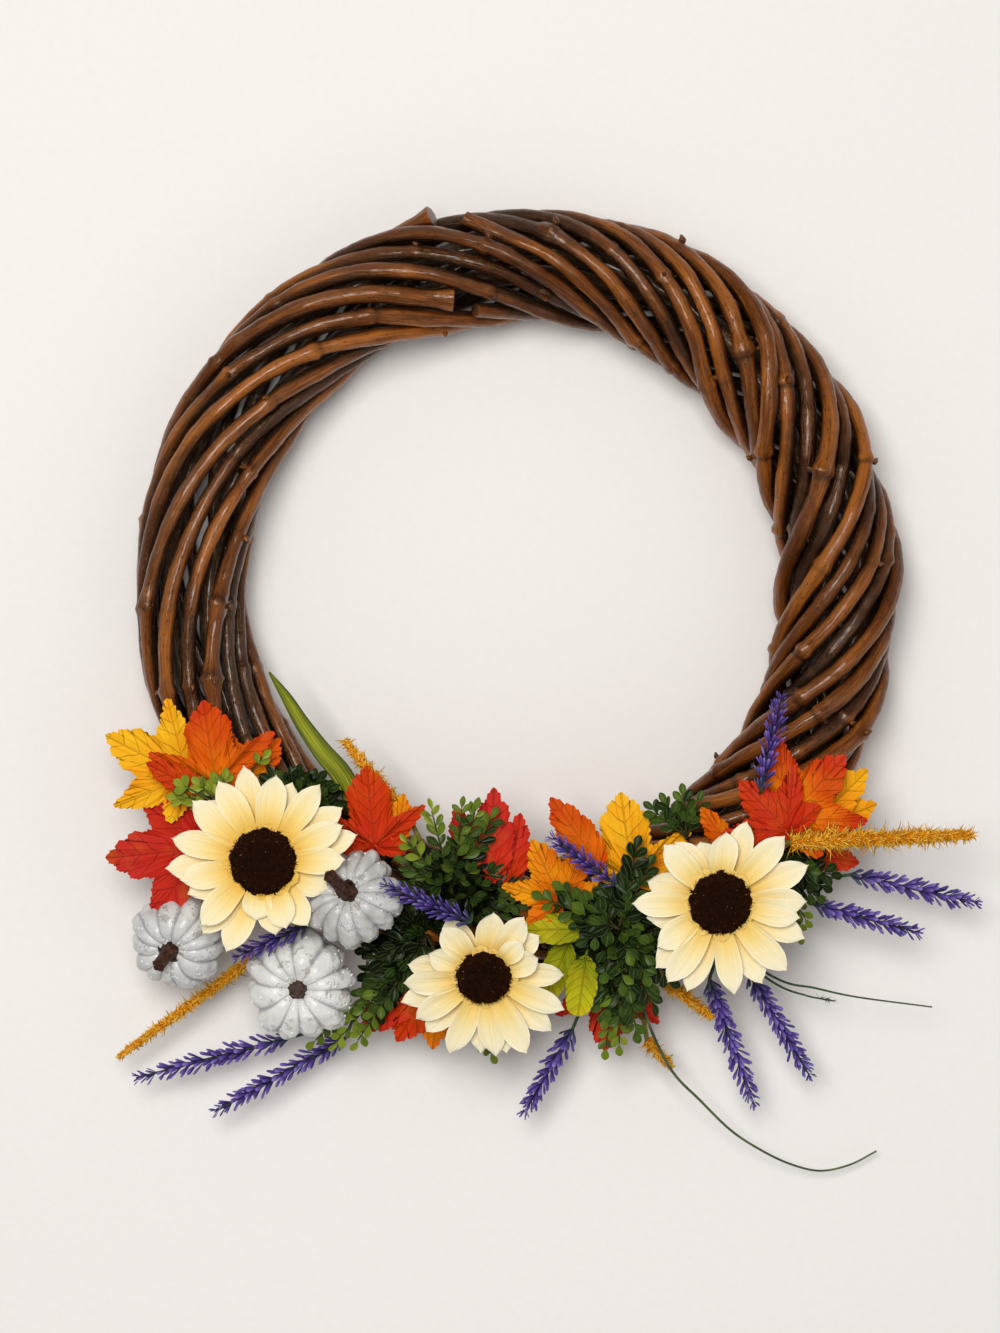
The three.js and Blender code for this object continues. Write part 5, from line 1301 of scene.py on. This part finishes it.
# Foot of the leaf, its tip, and its ripeness there.
WAVED_LEAVES = [
    ((36, -175, 68), (4, -176, 68), 0.15),
    ((36, -191, 65), (32, -223, 57), 0.0),
    ((27, -184, 60), (15, -213, 55), 0.3),
]
WAVED_HALF = [(6, 0.95), (13, 0.84), (18, 0.68), (26, 0.55), (34, 0.4), (56, 0.24)]
WAVED_JOINT = (39, -176, 64)
WAVED_SEED = 61

waved = leaf_finish("waved_fabric", (
    (0.0, shade(204, 194, 30)), (0.4, shade(168, 166, 22)), (0.7, shade(108, 124, 22)),
    (1.0, shade(62, 84, 24))), 0.1)
spray = Shape()
draw = np.random.default_rng(WAVED_SEED)
for i, (base, tip, ripe) in enumerate(WAVED_LEAVES):
    grow_leaf(spray, base, tip, WAVED_HALF, [0], (0.6, ripe), 0.5, 1.0, draw)
    joint = np.array(WAVED_JOINT) - [0, 0, STALK_DROP * i]
    spray.add(*tube(bent(joint, base, 0.6, 9), 0.8, 7), ripe=0.8, **LEAF_STALK)
grow_leg(spray, WAVED_JOINT, 1.5, ripe=0.8, **LEAF_STALK)
spray.piece("green_leaves_spray", waved, "waved_leaf", "green_leaves")


# Boxwood
# Moulded boxwood sprigs: wiry stems with pairs of small rounded leaves, glossy dark green, with
# yellow-green young leaves at the tips. Their stems are wired down to the vines.

# Name, joint, and the tips of its shoots, some with how fresh they are; then how young its leaves are,
# how many twigs it has, and the length and breadth of a leaf.
BOXWOOD = [
    ("1", (-150, -112, 79), [
        (-176, -98, 77), (-166, -96, 78), (-158, -100, 78), (-147, -91, 78), (-155, -93, 78),
        (-175, -106, 76), (-171, -110, 76), (-180, -107, 75), (-124, -82, 74), (-165, -103, 78)],
     0.76, 0.0, 8.8, 1.12),
    ("2", (-108, -116, 64), [
        (-113, -90, 70), (-138, -98, 66), (-92, -99, 66), (-124, -92, 66), (-102, -92, 68)],
     0.0, 0.9, 10, 1.1),
    ("3", (-32, -157, 72), [
        (-45, -105, 80, 0.45), (-61, -124, 76, 0.4), (-64, -137, 72, 0.15), (-26, -104, 82, 0.26),
        (-18, -106, 80, 0.22), (-8, -111, 78, 0.14), (-51, -143, 70), (-33, -133, 73), (-21, -140, 75),
        (-4, -142, 73), (4, -160, 68), (-56, -130, 76, 0.2), (-62, -152, 66), (-30, -136, 93),
        (-19, -140, 92), (-38, -146, 90), (-12, -150, 87), (0, -171, 70), (9, -165, 67), (8, -151, 68),
        (-26, -146, 95), (-17, -159, 97), (-29, -160, 97)],
     0.1, 0.25, 10, 0.9),
    ("4", (-45, -180, 62), [
        (-8, -250, 46, 0.55), (-87, -243, 46, 0.62), (-111, -242, 40, 0.5), (-99, -243, 43, 0.6),
        (-70, -176, 60), (-74, -192, 58), (-62, -213, 52), (-85, -219, 50, 0.25), (-46, -163, 66),
        (-59, -169, 64), (-78, -232, 46, 0.4), (-39, -219, 50), (-70, -205, 54), (-54, -187, 60),
        (-30, -166, 68), (-84, -205, 46), (-86, -190, 42)],
     -0.16, 0.4, 10.6, 1.05),
    ("5", (53, -175, 73), [
        (6, -156, 70, 0.2), (17, -150, 72, 0.2), (64, -125, 74), (72, -135, 74, 0.1), (90, -191, 66),
        (86, -208, 62), (74, -223, 60), (64, -238, 54, 0.2), (46, -248, 50, 0.35), (54, -246, 50, 0.35),
        (44, -228, 54, 0.1), (70, -207, 68, 0.15), (56, -212, 68, 0.2), (44, -206, 66, 0.15),
        (24, -168, 68), (43, -155, 76, 0.1), (79, -160, 70), (71, -181, 76, 0.15), (31, -158, 70),
        (14, -188, 56), (60, -194, 78, 0.2), (24, -204, 54), (66, -166, 78, 0.1)],
     0.02, 0.27, 10.4, 1.15),
    ("6", (88, -129, 69), [
        (64, -109, 74), (73, -104, 74, 0.1), (85, -99, 74, 0.1), (96, -103, 74), (78, -113, 74),
        (90, -112, 76)],
     0.14, 0.14, 9.4, 1.0),
    ("7", (130, -141, 62), [
        (171, -150, 56), (162, -164, 54), (155, -179, 52, 0.4), (166, -158, 54), (155, -156, 58),
        (150, -188, 50, 0.35), (146, -171, 54)],
     0.1, 0.4, 10, 1.1),
]
BOXWOOD_SEED = 300
PAIR_PITCH = 6.0
TWIG_PITCH = 11
SHOOT_STEPS = 33
FRESH_TIP = 0.25
DEEPEST_DROP = 14

glossy = Finish("boxwood_plastic", Coat_Weight=0.1, Coat_Roughness=0.15, Specular_IOR_Level=0.1,
                Specular_Tint=(0.9, 1, 0.6, 1))
leaf_youth_and_light = glossy.stored("youth")
leaf_cloud = glossy.noise(glossy.place(), 240, 3)
leaf_colour = glossy.ramp(
    leaf_youth_and_light + leaf_cloud * 0.2 - 0.1, (0.0, shade(9, 21, 7)), (0.18, shade(28, 47, 15)),
    (0.38, shade(62, 84, 24)), (0.68, shade(106, 124, 30)), (1.0, shade(148, 158, 48)))
leaf_middle = glossy.stored("across").size().between(0.16, 0.02)
leaf_rim = glossy.stored("across").size().between(0.75, 1)
leaf_colour = glossy.mix(leaf_middle * 0.3, leaf_colour, glossy.mix(0.5, leaf_colour, shade(160, 176, 100)))
leaf_colour = glossy.mix(leaf_rim * 0.4, leaf_colour, glossy.mix(0.5, leaf_colour, shade(140, 164, 96)))
leaf_colour = glossy.mix(glossy.stored("twig"), leaf_colour, shade(66, 58, 32))
# Painted shade: leaves that lie under others, and the stems, are darkened almost to black.
leaf_colour = glossy.mix(glossy.stored("covered") * 0.9, leaf_colour, shade(6, 12, 4))
glossy.surface(leaf_colour, 0.36 + leaf_cloud * 0.2, leaf_cloud * 0.4 - leaf_middle * 0.5, 0.0005)

along = np.array([0, 0.12, 0.28, 0.45, 0.62, 0.78, 0.9, 1])[:, None]
across = np.linspace(-1, 1, 5)[None, :]
leaf_half = np.array([0.03, 0.05, 0.15, 0.235, 0.265, 0.235, 0.165, 0.06])[:, None]
LEAF = np.stack(np.broadcast_arrays(
    along - 0.03 * across ** 2 * along ** 3, across * leaf_half,
    0.09 * across ** 2 - 0.12 * along ** 2 + 0.04), -1).reshape(-1, 3)
LEAF_FACES = [grid_faces(len(along), across.size)]
LEAF_ACROSS = np.tile(across[0], len(along))


def add_leaves(shape, leaves, broad, draw):
    """All leaves of a sprig, each with how deep it lies under the others, which sets its painted shade."""
    places, headings, youth, sizes = (np.concatenate(part) for part in zip(*leaves))
    count = len(places)
    ups = np.tile([0.0, 0, 1], (count, 1)) + 0.3 * draw.normal(size=(count, 3))
    middles = places + unit(headings) * sizes[:, None] / 2
    apart = np.linalg.norm(middles[:, None, :2] - middles[None, :, :2], axis=-1)
    above = np.where(apart < 5, middles[None, :, 2], -1000).max(axis=1)
    covered = np.clip((above - middles[:, 2] - 1.2) / 6.5, 0, 1)
    scatter(shape, LEAF, LEAF_FACES, places, headings, ups, np.stack([sizes, sizes * broad, sizes], -1),
            {"youth": youth, "twig": 0, "covered": covered}, {"across": LEAF_ACROSS})


def grow_shoot(shape, leaves, line, first, radius, youth, fresh, size, draw):
    """A wiry stem with pairs of leaves from a share of its length on, and one at its tip."""
    shape.add(*tube(line, np.linspace(radius, 0.35, len(line)), 6),
              youth=0.2, twig=0.9 - 0.6 * youth, across=1, covered=0.3)
    ahead, side, over = frames_of(line)
    long = np.linalg.norm(np.diff(line, axis=0), axis=1).sum()
    pairs = max(1, round(long * (1 - first) / PAIR_PITCH))
    share = np.repeat(first + (1 - first) * (np.arange(pairs) + 0.5) / pairs, 2)
    step = (share * (len(line) - 1)).astype(int)
    roll = np.repeat((np.arange(pairs) % 2) * 0.5 + 0.8 * draw.random() - 0.6, 2)
    way = np.tile([1, -1], pairs)[:, None]
    out = round_line(side[step], over[step], roll) * way
    headings = out + ahead[step] * draw.uniform(0.8, 1.6, (len(step), 1))
    headings = headings + 0.15 * draw.normal(size=(len(step), 3))
    # Painted light and shade: leaves are lighter further out along a shoot and darker near its root; fresh
    # tips add the young leaves' own colour.
    ages = youth + 0.12 * (share - 0.4) + fresh * share ** 1.5 + draw.normal(0, 0.13, len(step))
    sizes = size * np.interp(share, [0, 0.7, 1], [1.05, 1, 0.75]) * draw.uniform(0.8, 1.1, len(step))
    leaves.append((line[step], headings, np.clip(ages, 0, 1), sizes))
    leaves.append((line[-1:], ahead[-1:], np.clip([youth + 0.1 + fresh], 0, 1), np.array([size * 0.8])))


for index, (name, root, tips, youth, bushy, size, broad) in enumerate(BOXWOOD):
    draw = np.random.default_rng(BOXWOOD_SEED + index)
    sprig = Shape()
    leaves = []
    for i, tip in enumerate(tips):
        joint = np.array(root, float) - [0, 0, min(STALK_DROP * i, DEEPEST_DROP)]
        end = np.array(tip[:3], float)
        long = np.linalg.norm(end - joint)
        end = end - min(size, 0.5 * long) * unit(end - joint)
        line = bent(joint, end, 3 if bushy else 0.5, SHOOT_STEPS)
        own = youth + draw.uniform(-0.04, 0.1)
        fresh = sum(tip[3:])
        tender = fresh > FRESH_TIP
        leaf_size = size * (0.85 if tender else 1)
        grow_shoot(sprig, leaves, line, 0.25 if bushy else 0.85, 0.75, own + 0.2 * fresh, 1.2 * fresh,
                   leaf_size, draw)
        ahead, side, _ = frames_of(line)
        twigs = round(bushy * long / TWIG_PITCH * (0.4 if tender else 1))
        for k in range(twigs):
            share = 0.05 + (0.35 if tender else 0.7) * (k + 0.4 * draw.random()) / twigs
            step = int(share * (SHOOT_STEPS - 1))
            for way in (-1, 0, 1):
                heading = side[step] * way * 0.8 + ahead[step] * draw.uniform(0.6, 1.2)
                heading = unit(heading + [0, 0, draw.uniform(-0.3, 0.3) if way else 0.6])
                reach = (draw.uniform(10, 16) if way else draw.uniform(7, 10)) * (1 - 0.5 * share)
                twig = bent(line[step], line[step] + heading * reach, 0.8, 9)
                # Painted light: the upright twig, which lies on top, gets lighter leaves.
                grow_shoot(sprig, leaves, twig, 0.15, 0.5, own + (0 if way else 0.16), fresh * share ** 2,
                           size, draw)
    add_leaves(sprig, leaves, broad, draw)
    grow_leg(sprig, root, 1.3, youth=0.2, twig=1, across=1, covered=1)
    sprig.piece(f"boxwood_{name}_sprigs", glossy, "boxwood", f"boxwood_{name}")
